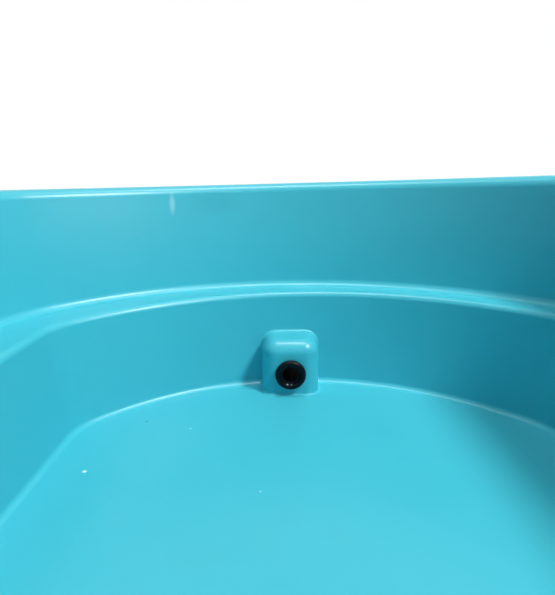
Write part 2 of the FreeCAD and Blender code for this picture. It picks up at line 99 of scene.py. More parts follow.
class Bench:
    """One mesh being shaped in edit mode with the usual modelling tools.

    Attributes:
        thing: The mesh object on the bench.
    """

    def __init__(self, name: str) -> None:
        """Take the mesh that was just added and open it.

        Args:
            name: The piece's name.
        """
        self.thing = bpy.context.object
        self.thing.name = name
        self.thing.data.name = name
        self.open()

    @staticmethod
    def tidy() -> None:
        """Leave edit mode and let go of everything."""
        if bpy.context.object is not None and bpy.context.object.mode != "OBJECT":
            bpy.ops.object.mode_set(mode="OBJECT")
        bpy.ops.object.select_all(action="DESELECT")

    @staticmethod
    def hold(thing: Thing) -> Thing:
        """Leave edit mode with one mesh selected and active.

        Args:
            thing: The mesh object.

        Returns:
            The same mesh object.
        """
        Bench.tidy()
        bpy.context.view_layer.objects.active = thing
        thing.select_set(True)
        return thing

    @classmethod
    def point(cls, name: str, place: Vector) -> "Bench":
        """Start from a single point, a plane merged to its middle.

        Args:
            name: The piece's name.
            place: Where the point goes, in millimetres.

        Returns:
            The bench, with the point selected.
        """
        cls.tidy()
        bpy.ops.mesh.primitive_plane_add(size=MM, location=(0.0, 0.0, 0.0))
        bench = cls(name)
        Bench.everything()
        bpy.ops.mesh.merge(type="CENTER")
        Bench.everything()
        bpy.ops.transform.translate(value=place * MM)
        return bench

    @classmethod
    def line(cls, name: str, corners: Sequence[Vector]) -> "Bench":
        """Draw a line of edges from corner to corner.

        Args:
            name: The piece's name.
            corners: The corners in turn, in millimetres.

        Returns:
            The bench, with the last corner selected.
        """
        bench = cls.point(name, corners[0])
        for before, here in zip(corners, corners[1:]):
            bench.pull(here - before)
        return bench

    @classmethod
    def block(cls, name: str, low: Vector, high: Vector) -> "Bench":
        """Start from a block between two corners.

        Args:
            name: The piece's name.
            low: The lowest corner, in millimetres.
            high: The highest corner.

        Returns:
            The bench, with the block selected.
        """
        cls.tidy()
        bpy.ops.mesh.primitive_cube_add(size=1.0, location=(0.0, 0.0, 0.0))
        bench = cls(name)
        Bench.everything()
        bpy.ops.transform.resize(value=(high - low) * MM, center_override=(0.0, 0.0, 0.0))
        bpy.ops.transform.translate(value=(low + high) * (MM / 2.0))
        return bench

    @classmethod
    def drum(cls, name: str, axle: Axle, start: float, end: float, radius: float, sides: int) -> "Bench":
        """Start from a cylinder, or a prism of a few sides, along a line.

        Args:
            name: The piece's name.
            axle: The line it stands on.
            start: Where it starts along the line.
            end: Where it ends.
            radius: Centre to corner.
            sides: How many sides it has.

        Returns:
            The bench, with the drum selected.
        """
        cls.tidy()
        bpy.ops.mesh.primitive_cylinder_add(
            vertices=sides, radius=radius * MM, depth=(end - start) * MM, location=(0.0, 0.0, 0.0))
        bench = cls(name)
        across = axle.along.cross(axle.out)
        turn = Matrix((axle.out, across, axle.along)).transposed().to_4x4()
        place = Matrix.Translation(axle.at((start + end) / 2.0) * MM)
        bench.close()
        bench.thing.matrix_world = place @ turn
        bpy.ops.object.transform_apply(location=True, rotation=True, scale=True)
        bench.open()
        Bench.everything()
        return bench

    @classmethod
    def lathe(cls, name: str, axle: Axle, profile: Sequence[tuple[float, ...]], steps: int,
              eased: int = 5) -> Thing:
        """Draw a profile point by point, round its corners and spin it once round a line.

        Args:
            name: The piece's name.
            axle: The line it is turned about.
            profile: (along, radius) or (along, radius, corner rounding) of each corner in turn.
            steps: How many steps make the full turn.
            eased: How many short runs round each corner.

        Returns:
            The closed, round piece.
        """
        corners = [axle.at(*corner[:2]) for corner in profile]
        bench = cls.line(name, corners)
        if min(profile[0][1], profile[-1][1]) > 0.0:
            bench.pull(corners[0] - corners[-1])
            Bench.everything()
            bpy.ops.mesh.remove_doubles(threshold=1e-7)
        for i, corner in enumerate(profile):
            if len(corner) > 2 and corner[2] > 0.0:
                after = corners[(i + 1) % len(corners)]
                bench.ease_point(corners[i], corners[i - 1], after, corner[2], eased)
        Bench.everything()
        bpy.ops.mesh.spin(steps=steps, angle=math.tau, center=axle.origin * MM, axis=axle.along)
        bench.weld()
        return bench.close()

    @classmethod
    def reopened(cls, thing: Thing) -> "Bench":
        """Put a finished mesh back on the bench.

        Args:
            thing: The mesh object.

        Returns:
            The bench, with the mesh open.
        """
        cls.tidy()
        bpy.context.view_layer.objects.active = thing
        return cls(thing.name)

    def open(self) -> None:
        """Go into edit mode on this mesh alone."""
        self.hold(self.thing)
        bpy.ops.object.mode_set(mode="EDIT")
        bpy.context.tool_settings.mesh_select_mode = Pick.POINTS.value

    def close(self) -> Thing:
        """Leave edit mode, with this mesh selected and active."""
        return self.hold(self.thing)

    @staticmethod
    def everything() -> None:
        """Select the whole mesh."""
        bpy.ops.mesh.select_all(action="SELECT")

    @staticmethod
    def nothing(kind: Pick) -> None:
        """Let go of the whole mesh and say what the next selection takes hold of."""
        bpy.context.tool_settings.mesh_select_mode = kind.value
        bpy.ops.mesh.select_all(action="DESELECT")

    def pick(self, kind: Pick, test: Callable[[Vector, Vector], bool]) -> None:
        """Select points, edges or faces by where they are.

        Args:
            kind: What to select.
            test: Told the middle in millimetres, and the run of an edge or the normal of the rest.
        """
        self.nothing(kind)
        mesh = bmesh.from_edit_mesh(self.thing.data)
        if kind is Pick.POINTS:
            found = [(point, point.co, point.normal) for point in mesh.verts]
        elif kind is Pick.EDGES:
            found = [(edge, (edge.verts[0].co + edge.verts[1].co) / 2.0,
                      (edge.verts[1].co - edge.verts[0].co) / MM) for edge in mesh.edges]
        else:
            found = [(face, face.calc_center_median(), face.normal) for face in mesh.faces]
        for part, middle, run in found:
            if test(middle / MM, run):
                part.select_set(True)
        mesh.select_flush_mode()
        bmesh.update_edit_mesh(self.thing.data)

    def rims(self, test: Callable[[Vector, Vector], bool]) -> None:
        """Select the open edges whose middle and run pass a test.

        Args:
            test: Told an edge's middle and run, in millimetres.
        """
        self.nothing(Pick.EDGES)
        bpy.ops.mesh.select_non_manifold(extend=False, use_wire=False, use_boundary=True,
                                         use_multi_face=False, use_non_contiguous=False, use_verts=False)
        self.keep(test)

    def sharp(self, degrees: float, test: Callable[[Vector, Vector], bool]) -> None:
        """Select the edges sharper than an angle whose middle and run pass a test.

        Args:
            degrees: The angle.
            test: Told an edge's middle and run, in millimetres.
        """
        self.nothing(Pick.EDGES)
        bpy.ops.mesh.edges_select_sharp(sharpness=math.radians(degrees))
        self.keep(test)

    def keep(self, test: Callable[[Vector, Vector], bool]) -> None:
        """Let go of the selected edges whose middle and run don't pass a test.

        Args:
            test: Told an edge's middle and run, in millimetres.
        """
        mesh = bmesh.from_edit_mesh(self.thing.data)
        for edge in mesh.edges:
            start, end = (corner.co / MM for corner in edge.verts)
            if edge.select and not test((start + end) / 2.0, end - start):
                edge.select_set(False)
        mesh.select_flush_mode()
        bmesh.update_edit_mesh(self.thing.data)

    def pull(self, move: Vector) -> None:
        """Extrude what is selected and move it."""
        bpy.ops.mesh.extrude_region_move(TRANSFORM_OT_translate={"value": move * MM})

    def ease_point(self, here: Vector, back: Vector, ahead: Vector, radius: float, eased: int) -> None:
        """Round one corner of a line of edges to a radius.

        Args:
            here: The corner.
            back: The corner before it.
            ahead: The corner after it.
            radius: The rounding.
            eased: How many short runs it takes.
        """
        between = (back - here).angle(ahead - here)
        cut = radius / math.tan(between / 2.0)
        self.pick(Pick.POINTS, lambda spot, _: (spot - here).length < SPOT)
        bpy.ops.mesh.bevel(offset=cut * MM, segments=eased, profile=0.5, affect="VERTICES")

    def bevel(self, size: float, runs: int = 3) -> None:
        """Bevel the selected edges."""
        bpy.ops.mesh.bevel(offset=size * MM, segments=runs, profile=0.5, affect="EDGES")

    def weld(self) -> None:
        """Merge doubles and turn every face outwards."""
        Bench.everything()
        bpy.ops.mesh.remove_doubles(threshold=WELD)
        bpy.ops.mesh.normals_make_consistent(inside=False)


class Carve(Enum):
    """What a mesh and the tool that meets it leave."""

    CUT = "DIFFERENCE"
    BOTH = "UNION"
    SHARED = "INTERSECT"


def finish_with(thing: Thing, kind: str, **settings: object) -> None:
    """Add a modifier to a mesh and apply it.

    Args:
        thing: The mesh object.
        kind: The modifier's type.
        settings: Its properties.
    """
    Bench.hold(thing)
    modifier = thing.modifiers.new(kind.title(), kind)
    for key, value in settings.items():
        setattr(modifier, key, value)
    bpy.ops.object.modifier_apply(modifier=modifier.name)


def soften(thing: Thing, size: float, runs: int = 3, degrees: float = 35.0) -> None:
    """Ease a finished mesh's sharp edges with a bevel.

    Args:
        thing: The mesh object.
        size: The bevel's width in millimetres.
        runs: How many strips it has.
        degrees: The least angle of an edge that it takes.
    """
    finish_with(thing, "BEVEL", width=size * MM, segments=runs, limit_method="ANGLE",
                angle_limit=math.radians(degrees), use_clamp_overlap=True, miter_outer="MITER_ARC",
                harden_normals=False)


def carve(thing: Thing, tool: Thing, leave: Carve = Carve.CUT) -> None:
    """Cut a mesh with another one, or join or trim it, and throw the tool away.

    Args:
        thing: The mesh object that stays.
        tool: The one that is used up.
        leave: What stays of the two.
    """
    finish_with(thing, "BOOLEAN", operation=leave.value, object=tool, solver="EXACT")
    bpy.data.meshes.remove(tool.data)
    bench = Bench.reopened(thing)
    Bench.everything()
    bpy.ops.mesh.dissolve_degenerate(threshold=5e-6)
    bench.weld()
    bench.close()


def join(things: Sequence[Thing]) -> Thing:
    """Join meshes into the first one.

    Args:
        things: The mesh objects.

    Returns:
        The joined object.
    """
    Bench.tidy()
    for thing in things:
        thing.select_set(True)
    bpy.context.view_layer.objects.active = things[0]
    bpy.ops.object.join()
    return things[0]


def copied(thing: Thing, name: str, move: Matrix) -> Thing:
    """A second piece with its own mesh, moved in its mesh.

    Args:
        thing: The piece that is copied.
        name: The copy's name.
        move: The move, in millimetres.

    Returns:
        The copy.
    """
    twin = thing.copy()
    twin.data = thing.data.copy()
    twin.name = name
    twin.data.name = name
    bpy.context.scene.collection.objects.link(twin)
    metres = move.copy()
    metres.translation = move.translation * MM
    twin.data.transform(metres)
    return twin


def smooth(thing: Thing, degrees: float = 35.0) -> Thing:
    """Shade a mesh smooth, with its large faces kept flat.

    Args:
        thing: The mesh object.
        degrees: Edges sharper than this stay sharp.

    Returns:
        The same mesh object.
    """
    Bench.hold(thing)
    bpy.ops.object.shade_smooth_by_angle(angle=math.radians(degrees))
    finish_with(thing, "WEIGHTED_NORMAL", mode="FACE_AREA", weight=60, keep_sharp=True)
    return thing


def dress(thing: Thing, body: str, material: Material,
          stands_for: Sequence[str] = ()) -> Thing:
    """Give a finished piece its material and its body, and hide the CAD nodes that it stands for.

    Args:
        thing: The piece.
        body: The body that it moves with.
        material: Its finish.
        stands_for: The CAD nodes that it replaces.

    Returns:
        The same piece.
    """
    thing.data.materials.clear()
    thing.data.materials.append(material)
    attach(thing, body)
    for node in stands_for:
        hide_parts(node)
    LOG.info("%s rides on %s, %d faces", thing.name, body, len(thing.data.polygons))
    return thing


def shade_bore(thing: Thing, axle: Axle, radius: float, material: Material) -> None:
    """Give the inside of a bore its own finish: painted shade, a darker and duller nylon that makes the hole
    read black.

    Args:
        thing: The bored piece, dressed already.
        axle: The bore's axis.
        radius: The bore's radius.
        material: The darker finish of its wall, painted shade.
    """
    thing.data.materials.append(material)
    bench = Bench.reopened(thing)
    bench.pick(Pick.FACES, lambda at, _: (at - axle.origin).cross(axle.along).length < radius + TOUCH)
    thing.active_material_index = len(thing.data.materials) - 1
    bpy.ops.object.material_slot_assign()
    bench.close()


# --------------------------------------------------------------------------------------- finishes
def linear(hex_colour: str) -> tuple[float, float, float, float]:
    """The linear colour of an sRGB hex value.

    Args:
        hex_colour: The colour as #rrggbb.

    Returns:
        Its linear red, green and blue, and 1.
    """
    parts = [int(hex_colour[i:i + 2], 16) / 255.0 for i in (1, 3, 5)]
    made = [part / 12.92 if part <= 0.04045 else ((part + 0.055) / 1.055) ** 2.4 for part in parts]
    return (made[0], made[1], made[2], 1.0)


def add(tree: Tree, kind: str, feeds: dict[str | int, object] | None = None,
        **settings: object) -> bpy.types.Node:
    """Add a node to a material or world.

    Args:
        tree: The node tree.
        kind: The node's type.
        feeds: A value or a socket for each of its inputs, by name or number.
        settings: Its properties.

    Returns:
        The node.
    """
    node = tree.nodes.new(kind)
    for key, value in settings.items():
        setattr(node, key, value)
    for key, value in (feeds or {}).items():
        if isinstance(value, Socket):
            tree.links.new(value, node.inputs[key])
        else:
            node.inputs[key].default_value = value
    return node


class Grain(Enum):
    """The way that a surface's fine marks are drawn out, as a scale along X, Y and Z."""

    EVEN = (1.0, 1.0, 1.0)
    LENGTHWISE = (0.06, 1.0, 1.0)


@dataclass(frozen=True)
class Mark:
    """One small patch of colour laid on a surface: a speck, a streak, and also a painted glint.

    Attributes:
        place: Its middle, in millimetres.
        reach: How far it spreads along X, Y and Z.
        colour: The colour it lays on.
        strength: How much of that colour shows in its middle, from 0 to 1.
    """

    place: tuple[float, float, float]
    reach: tuple[float, float, float]
    colour: str
    strength: float

    def over(self, tree: Tree, place: Socket, body: Socket) -> Socket:
        """Lay the mark over a colour.

        Args:
            tree: The node tree.
            place: The place on the surface.
            body: The colour under it.

        Returns:
            The colour socket.
        """
        spread = add(tree, "ShaderNodeMapping", {
            "Vector": place, "Location": [-at / reach for at, reach in zip(self.place, self.reach)],
            "Scale": [1.0 / (reach * MM) for reach in self.reach]}).outputs["Vector"]
        far = add(tree, "ShaderNodeVectorMath", {0: spread}, operation="LENGTH").outputs["Value"]
        share = add(tree, "ShaderNodeMapRange", {
            "Value": far, "From Min": 1.0, "From Max": 0.35, "To Max": self.strength}).outputs["Result"]
        return add(tree, "ShaderNodeMix", {0: share, 6: body, 7: linear(self.colour)},
                   data_type="RGBA").outputs[2]


@dataclass(frozen=True)
class Finish:
    """A real surface: its colour, gloss, fine relief and wear.

    Attributes:
        name: The material's name.
        colour: The sRGB colour.
        second: The sRGB colour that it drifts to in places.
        drift: How much of the second colour shows at most, from 0 to 1.
        drift_mm: The size of those places.
        roughness: The least roughness.
        rougher: How much rougher it gets in places.
        relief_mm: The height of the fine relief.
        relief_size_mm: The size of the fine relief.
        speck: The sRGB colour of small specks.
        speck_share: The share of places that carry a speck.
        speck_mm: How far apart those places are.
        speck_size: A speck's size as a share of that distance.
        metallic: 1 for bare metal.
        ior: The index of refraction.
        shine: How strongly it mirrors head on, where 0.5 is the full share for its index.
        coat: How much clear, glossier skin there is, from 0 to 1.
        coat_roughness: How rough that skin is.
        grain: The way that fine marks are drawn out.
        marks: Single marks, painted glints among them.
    """

    name: str
    colour: str
    second: str
    drift: float
    drift_mm: float
    roughness: float
    rougher: float
    relief_mm: float
    relief_size_mm: float
    speck: str = "#ffffff"
    speck_share: float = 0.0
    speck_mm: float = 10.0
    speck_size: float = 0.05
    metallic: float = 0.0
    ior: float = 1.5
    shine: float = 0.5
    coat: float = 0.0
    coat_roughness: float = 0.12
    grain: Grain = Grain.EVEN
    marks: tuple[Mark, ...] = ()

    def material(self) -> Material:
        """The finish as a material, made once.

        Returns:
            The material.
        """
        made = bpy.data.materials.get(self.name)
        if made is not None:
            return made
        made = bpy.data.materials.new(self.name)
        made.use_nodes = True
        tree = made.node_tree
        tree.nodes.clear()
        place = add(tree, "ShaderNodeTexCoord").outputs["Object"]
        drawn = add(tree, "ShaderNodeMapping",
                    {"Vector": place, "Scale": self.grain.value}).outputs["Vector"]
        shader = add(tree, "ShaderNodeBsdfPrincipled", {
            "Base Color": self.tint(tree, place),
            "Roughness": self.gloss(tree, drawn),
            "Normal": self.relief(tree, drawn),
            "Metallic": self.metallic,
            "IOR": self.ior,
            "Specular IOR Level": self.shine,
            "Coat Weight": self.coat,
            "Coat Roughness": self.coat_roughness,
        })
        add(tree, "ShaderNodeOutputMaterial", {"Surface": shader.outputs["BSDF"]})
        return made

    def tint(self, tree: Tree, place: Socket) -> Socket:
        """The colour: a slow drift between two tones, with the marks (painted glints among them) and specks
        on top.

        Args:
            tree: The node tree.
            place: The place on the surface.

        Returns:
            The colour socket.
        """
        cloud = add(tree, "ShaderNodeTexNoise",
                    {"Vector": place, "Scale": 1000.0 / self.drift_mm, "Detail": 3.0, "Roughness": 0.5})
        share = add(tree, "ShaderNodeMapRange", {
            "Value": cloud.outputs["Fac"], "From Min": DRIFT_NOISE[0], "From Max": DRIFT_NOISE[1],
            "To Max": self.drift})
        body = add(tree, "ShaderNodeMix", {0: share.outputs["Result"], 6: linear(self.colour),
                                           7: linear(self.second)}, data_type="RGBA").outputs[2]
        for mark in self.marks:
            body = mark.over(tree, place, body)
        if self.speck_share <= 0.0:
            return body
        cells = add(tree, "ShaderNodeTexVoronoi", {"Vector": place, "Scale": 1000.0 / self.speck_mm})
        chance = add(tree, "ShaderNodeSeparateColor", {"Color": cells.outputs["Color"]})
        chosen = add(tree, "ShaderNodeMath", {0: chance.outputs[0], 1: self.speck_share},
                     operation="LESS_THAN").outputs[0]
        near = add(tree, "ShaderNodeMapRange", {
            "Value": cells.outputs["Distance"], "From Min": self.speck_size,
            "From Max": self.speck_size * 0.5})
        mask = add(tree, "ShaderNodeMath", {0: near.outputs["Result"], 1: chosen},
                   operation="MULTIPLY").outputs[0]
        return add(tree, "ShaderNodeMix", {0: mask, 6: body, 7: linear(self.speck)},
                   data_type="RGBA").outputs[2]

    def gloss(self, tree: Tree, place: Socket) -> Socket:
        """The roughness, uneven where hands, water and cleaning have been.

        Args:
            tree: The node tree.
            place: The place on the surface.

        Returns:
            The roughness socket.
        """
        marks = add(tree, "ShaderNodeTexNoise",
                    {"Vector": place, "Scale": 1000.0 * WORN_FINER / self.drift_mm, "Detail": 2.0,
                     "Roughness": 0.5})
        return add(tree, "ShaderNodeMapRange", {
            "Value": marks.outputs["Fac"], "From Min": WORN_NOISE[0], "From Max": WORN_NOISE[1],
            "To Min": self.roughness, "To Max": self.roughness + self.rougher}).outputs["Result"]

    def relief(self, tree: Tree, place: Socket) -> Socket:
        """The fine relief of the skin as a bumped normal.

        Args:
            tree: The node tree.
            place: The place on the surface.

        Returns:
            The normal socket.
        """
        fine = add(tree, "ShaderNodeTexNoise",
                   {"Vector": place, "Scale": 1000.0 / self.relief_size_mm, "Detail": 3.0, "Roughness": 0.5})
        return add(tree, "ShaderNodeBump", {
            "Height": fine.outputs["Fac"], "Distance": self.relief_mm * MM,
            "Strength": 1.0}).outputs["Normal"]


# Blow-moulded turquoise polyethylene: a satin shine, faint orange peel, a pale streak and a faint darker
# patch high on the drain end, and a few specks.
TUB_PLASTIC = Finish(
    "turquoise_polyethylene", "#42b9ca", "#50c1d1", 0.30, 160.0, 0.285, 0.07, 0.012, 5.0,
    speck="#8fd9e6", speck_share=0.05, speck_mm=40.0, speck_size=0.03, ior=1.51, shine=0.42,
    # A pale streak and a faint darker patch high on the drain end's wall, then pale specks and one dark
    # speck on the floor.
    marks=(Mark((507.0, 157.0, 797.0), (12.0, 4.5, 17.0), "#a6dfea", 0.55),
           Mark((525.0, 95.0, 797.0), (14.0, 60.0, 20.0), "#369db2", 0.2),
           Mark((261.0, 209.3, 550.0), (2.4, 3.0, 4.0), "#e4f6fa", 0.95),
           Mark((343.7, 118.4, 550.0), (2.0, 1.5, 4.0), "#c8ebf2", 0.8),
           Mark((233.2, 32.9, 550.0), (1.4, 1.3, 4.0), "#bfe8f0", 0.75),
           Mark((359.6, 174.9, 550.0), (2.6, 1.8, 4.0), "#1f6d80", 0.8)))
# Two painted glints: pale spots laid on the drain's lip where highlights fall.
PAINTED_GLINTS = (Mark((423.7, 4.2, 568.3), (1.6, 1.1, 1.4), "#b9dbe2", 0.8),
         Mark((424.5, -1.0, 567.9), (1.6, 1.0, 1.4), "#a4ccd6", 0.7))
# Injection-moulded black nylon: deep black with a soft sheen and a fine spark-eroded grain; its slight
# blue-green tint is a painted reflection of the turquoise tub around it.
BLACK_NYLON = Finish(
    "black_glass_filled_nylon", "#050c12", "#0c161e", 0.5, 14.0, 0.285, 0.14, 0.02, 0.5,
    speck="#3a3c40", speck_share=0.05, speck_mm=2.5, speck_size=0.08, ior=1.53, shine=0.12,
    marks=PAINTED_GLINTS)
# The inside of the bores in the black fittings: painted shade, a dull nylon darker and bluer than the body,
# that makes the holes read black.
BORE_SHADE = Finish(
    "black_nylon_bore_shade", "#00050b", "#020a12", 0.5, 8.0, 0.62, 0.2, 0.02, 0.8, ior=1.53, shine=0.02,
    marks=PAINTED_GLINTS)
# Black rubber: dull, slightly grey where it is handled and powdery in its pores.
RUBBER = Finish(
    "black_rubber", "#17181a", "#2e3033", 0.6, 20.0, 0.62, 0.22, 0.06, 0.7,
    speck="#4a4c4f", speck_share=0.06, speck_mm=3.0, speck_size=0.07, ior=1.52)
# Bright stainless steel: fine lengthwise polishing lines that draw its shine out.
STAINLESS = Finish(
    "polished_stainless_steel", "#c9cbcc", "#b4b7ba", 0.6, 9.0, 0.285, 0.10, 0.01, 0.25, metallic=1.0,
    grain=Grain.LENGTHWISE)
# Red nylon of the lever: solid colour, satin, a little paler on its worn places.
RED_NYLON = Finish(
    "red_nylon", "#b5231f", "#c6443b", 0.5, 16.0, 0.36, 0.14, 0.03, 0.6,
    speck="#7c1512", speck_share=0.04, speck_mm=2.5, speck_size=0.08, ior=1.53)
# Pale grey powder coat on the leg tubes: even, with the fine orange peel of baked powder.
POWDER_COAT = Finish(
    "pale_grey_powder_coat", "#c4c8ca", "#b5babd", 0.4, 60.0, 0.32, 0.12, 0.04, 1.4,
    speck="#8f9497", speck_share=0.03, speck_mm=8.0, speck_size=0.05, ior=1.5, coat=0.3)


# ------------------------------------------------------------------------------------------ places
def span(node: str) -> tuple[Vector, Vector]:
    """The lowest and highest corner of a CAD node, in millimetres."""
    low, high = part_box(node)
    return low / MM, high / MM


def middle(node: str) -> Vector:
    """The middle of a CAD node's box, in millimetres."""
    low, high = span(node)
    return (low + high) / 2.0


X, Y, Z = Vector((1.0, 0.0, 0.0)), Vector((0.0, 1.0, 0.0)), Vector((0.0, 0.0, 1.0))
UPRIGHT = Axle(Vector((0.0, 0.0, 0.0)), Z, X)


# --------------------------------------------------------------------------------------------- tub
@dataclass
class PlanLine:
    """A tub's plan: bowed ends, corner arcs and straight sides, all tangent to each other.

    Attributes:
        end_centre: How far each bowed end's centre is from the middle.
        end_radius: The bowed ends' radius.
        side_half: Half the width over the straight sides.
        corner_radius: The corner arcs' radius.
        shift: How far it all sits off the middle towards +Y.
        end_runs: Degrees and steps of the runs of the drain end's arc, or none for one even run.
    """

    end_centre: float
    end_radius: float
    side_half: float
    corner_radius: float
    shift: float = 0.0
    end_runs: tuple[tuple[float, int], ...] = ()
    end_steps: int = 40
    corner_steps: int = 14
    side_steps: int = 8
    corner_x: float = field(init=False)
    corner_y: float = field(init=False)
    turn: float = field(init=False)

    def __post_init__(self) -> None:
        """Work out the corner arcs' centres and the angle where they meet the ends."""
        between = self.end_radius - self.corner_radius
        self.corner_y = self.side_half - self.corner_radius
        self.corner_x = self.end_centre + math.sqrt(between ** 2 - self.corner_y ** 2)
        self.turn = math.degrees(math.asin(self.corner_y / between))

    def carry(self, name: str, skin: Sequence[tuple[float, float, float]], eased: int) -> Bench:
        """Draw a section of (outward, up, rounding) corners and carry it once round the plan.

        Args:
            name: The mesh's name.
            skin: The section's corners.
            eased: How many short runs round each corner.

        Returns:
            The bench, still open.
        """
        first = math.radians(-self.turn)
        start = Axle(Vector((self.end_centre, self.shift, 0.0)), Z,
                     Vector((math.cos(first), math.sin(first), 0.0)))
        corners = [start.at(up, self.end_radius + outward) for outward, up, _ in skin]
        bench = Bench.line(name, corners)
        for i in range(1, len(skin) - 1):
            if skin[i][2] > 0.0:
                bench.ease_point(corners[i], corners[i - 1], corners[i + 1], skin[i][2], eased)
        Bench.everything()
        even = ((2.0 * self.turn, self.end_steps),)
        for side, runs in ((1.0, self.end_runs or even), (-1.0, even)):
            for degrees, steps in runs:
                self.swing(side, 0.0, degrees, steps, self.end_centre)
            self.swing(side, side, 90.0 - self.turn, self.corner_steps, self.corner_x)
            self.slide(bench, -side)
            self.swing(-side, side, 90.0 - self.turn, self.corner_steps, self.corner_x)
        bench.weld()
        return bench

    def swing(self, side_x: float, side_y: float, degrees: float, steps: int, reach: float) -> None:
        """Spin the selected section on about the centre of the next arc.

        Args:
            side_x: Which end, 1 or -1.
            side_y: Which side, 1 or -1, or 0 for an end's own arc.
            degrees: The arc.
            steps: How many steps it takes.
            reach: How far its centre is along X.
        """
        centre = Vector((side_x * reach, side_y * self.corner_y + self.shift, 0.0))
        bpy.ops.mesh.spin(steps=steps, angle=math.radians(degrees), center=centre * MM, axis=-Z)

    def slide(self, bench: Bench, way: float) -> None:
        """Extrude the selected section along a straight side.

        Args:
            bench: The bench.
            way: 1 or -1, along X.
        """
        for _ in range(self.side_steps):
            bench.pull(X * (way * 2.0 * self.corner_x / self.side_steps))


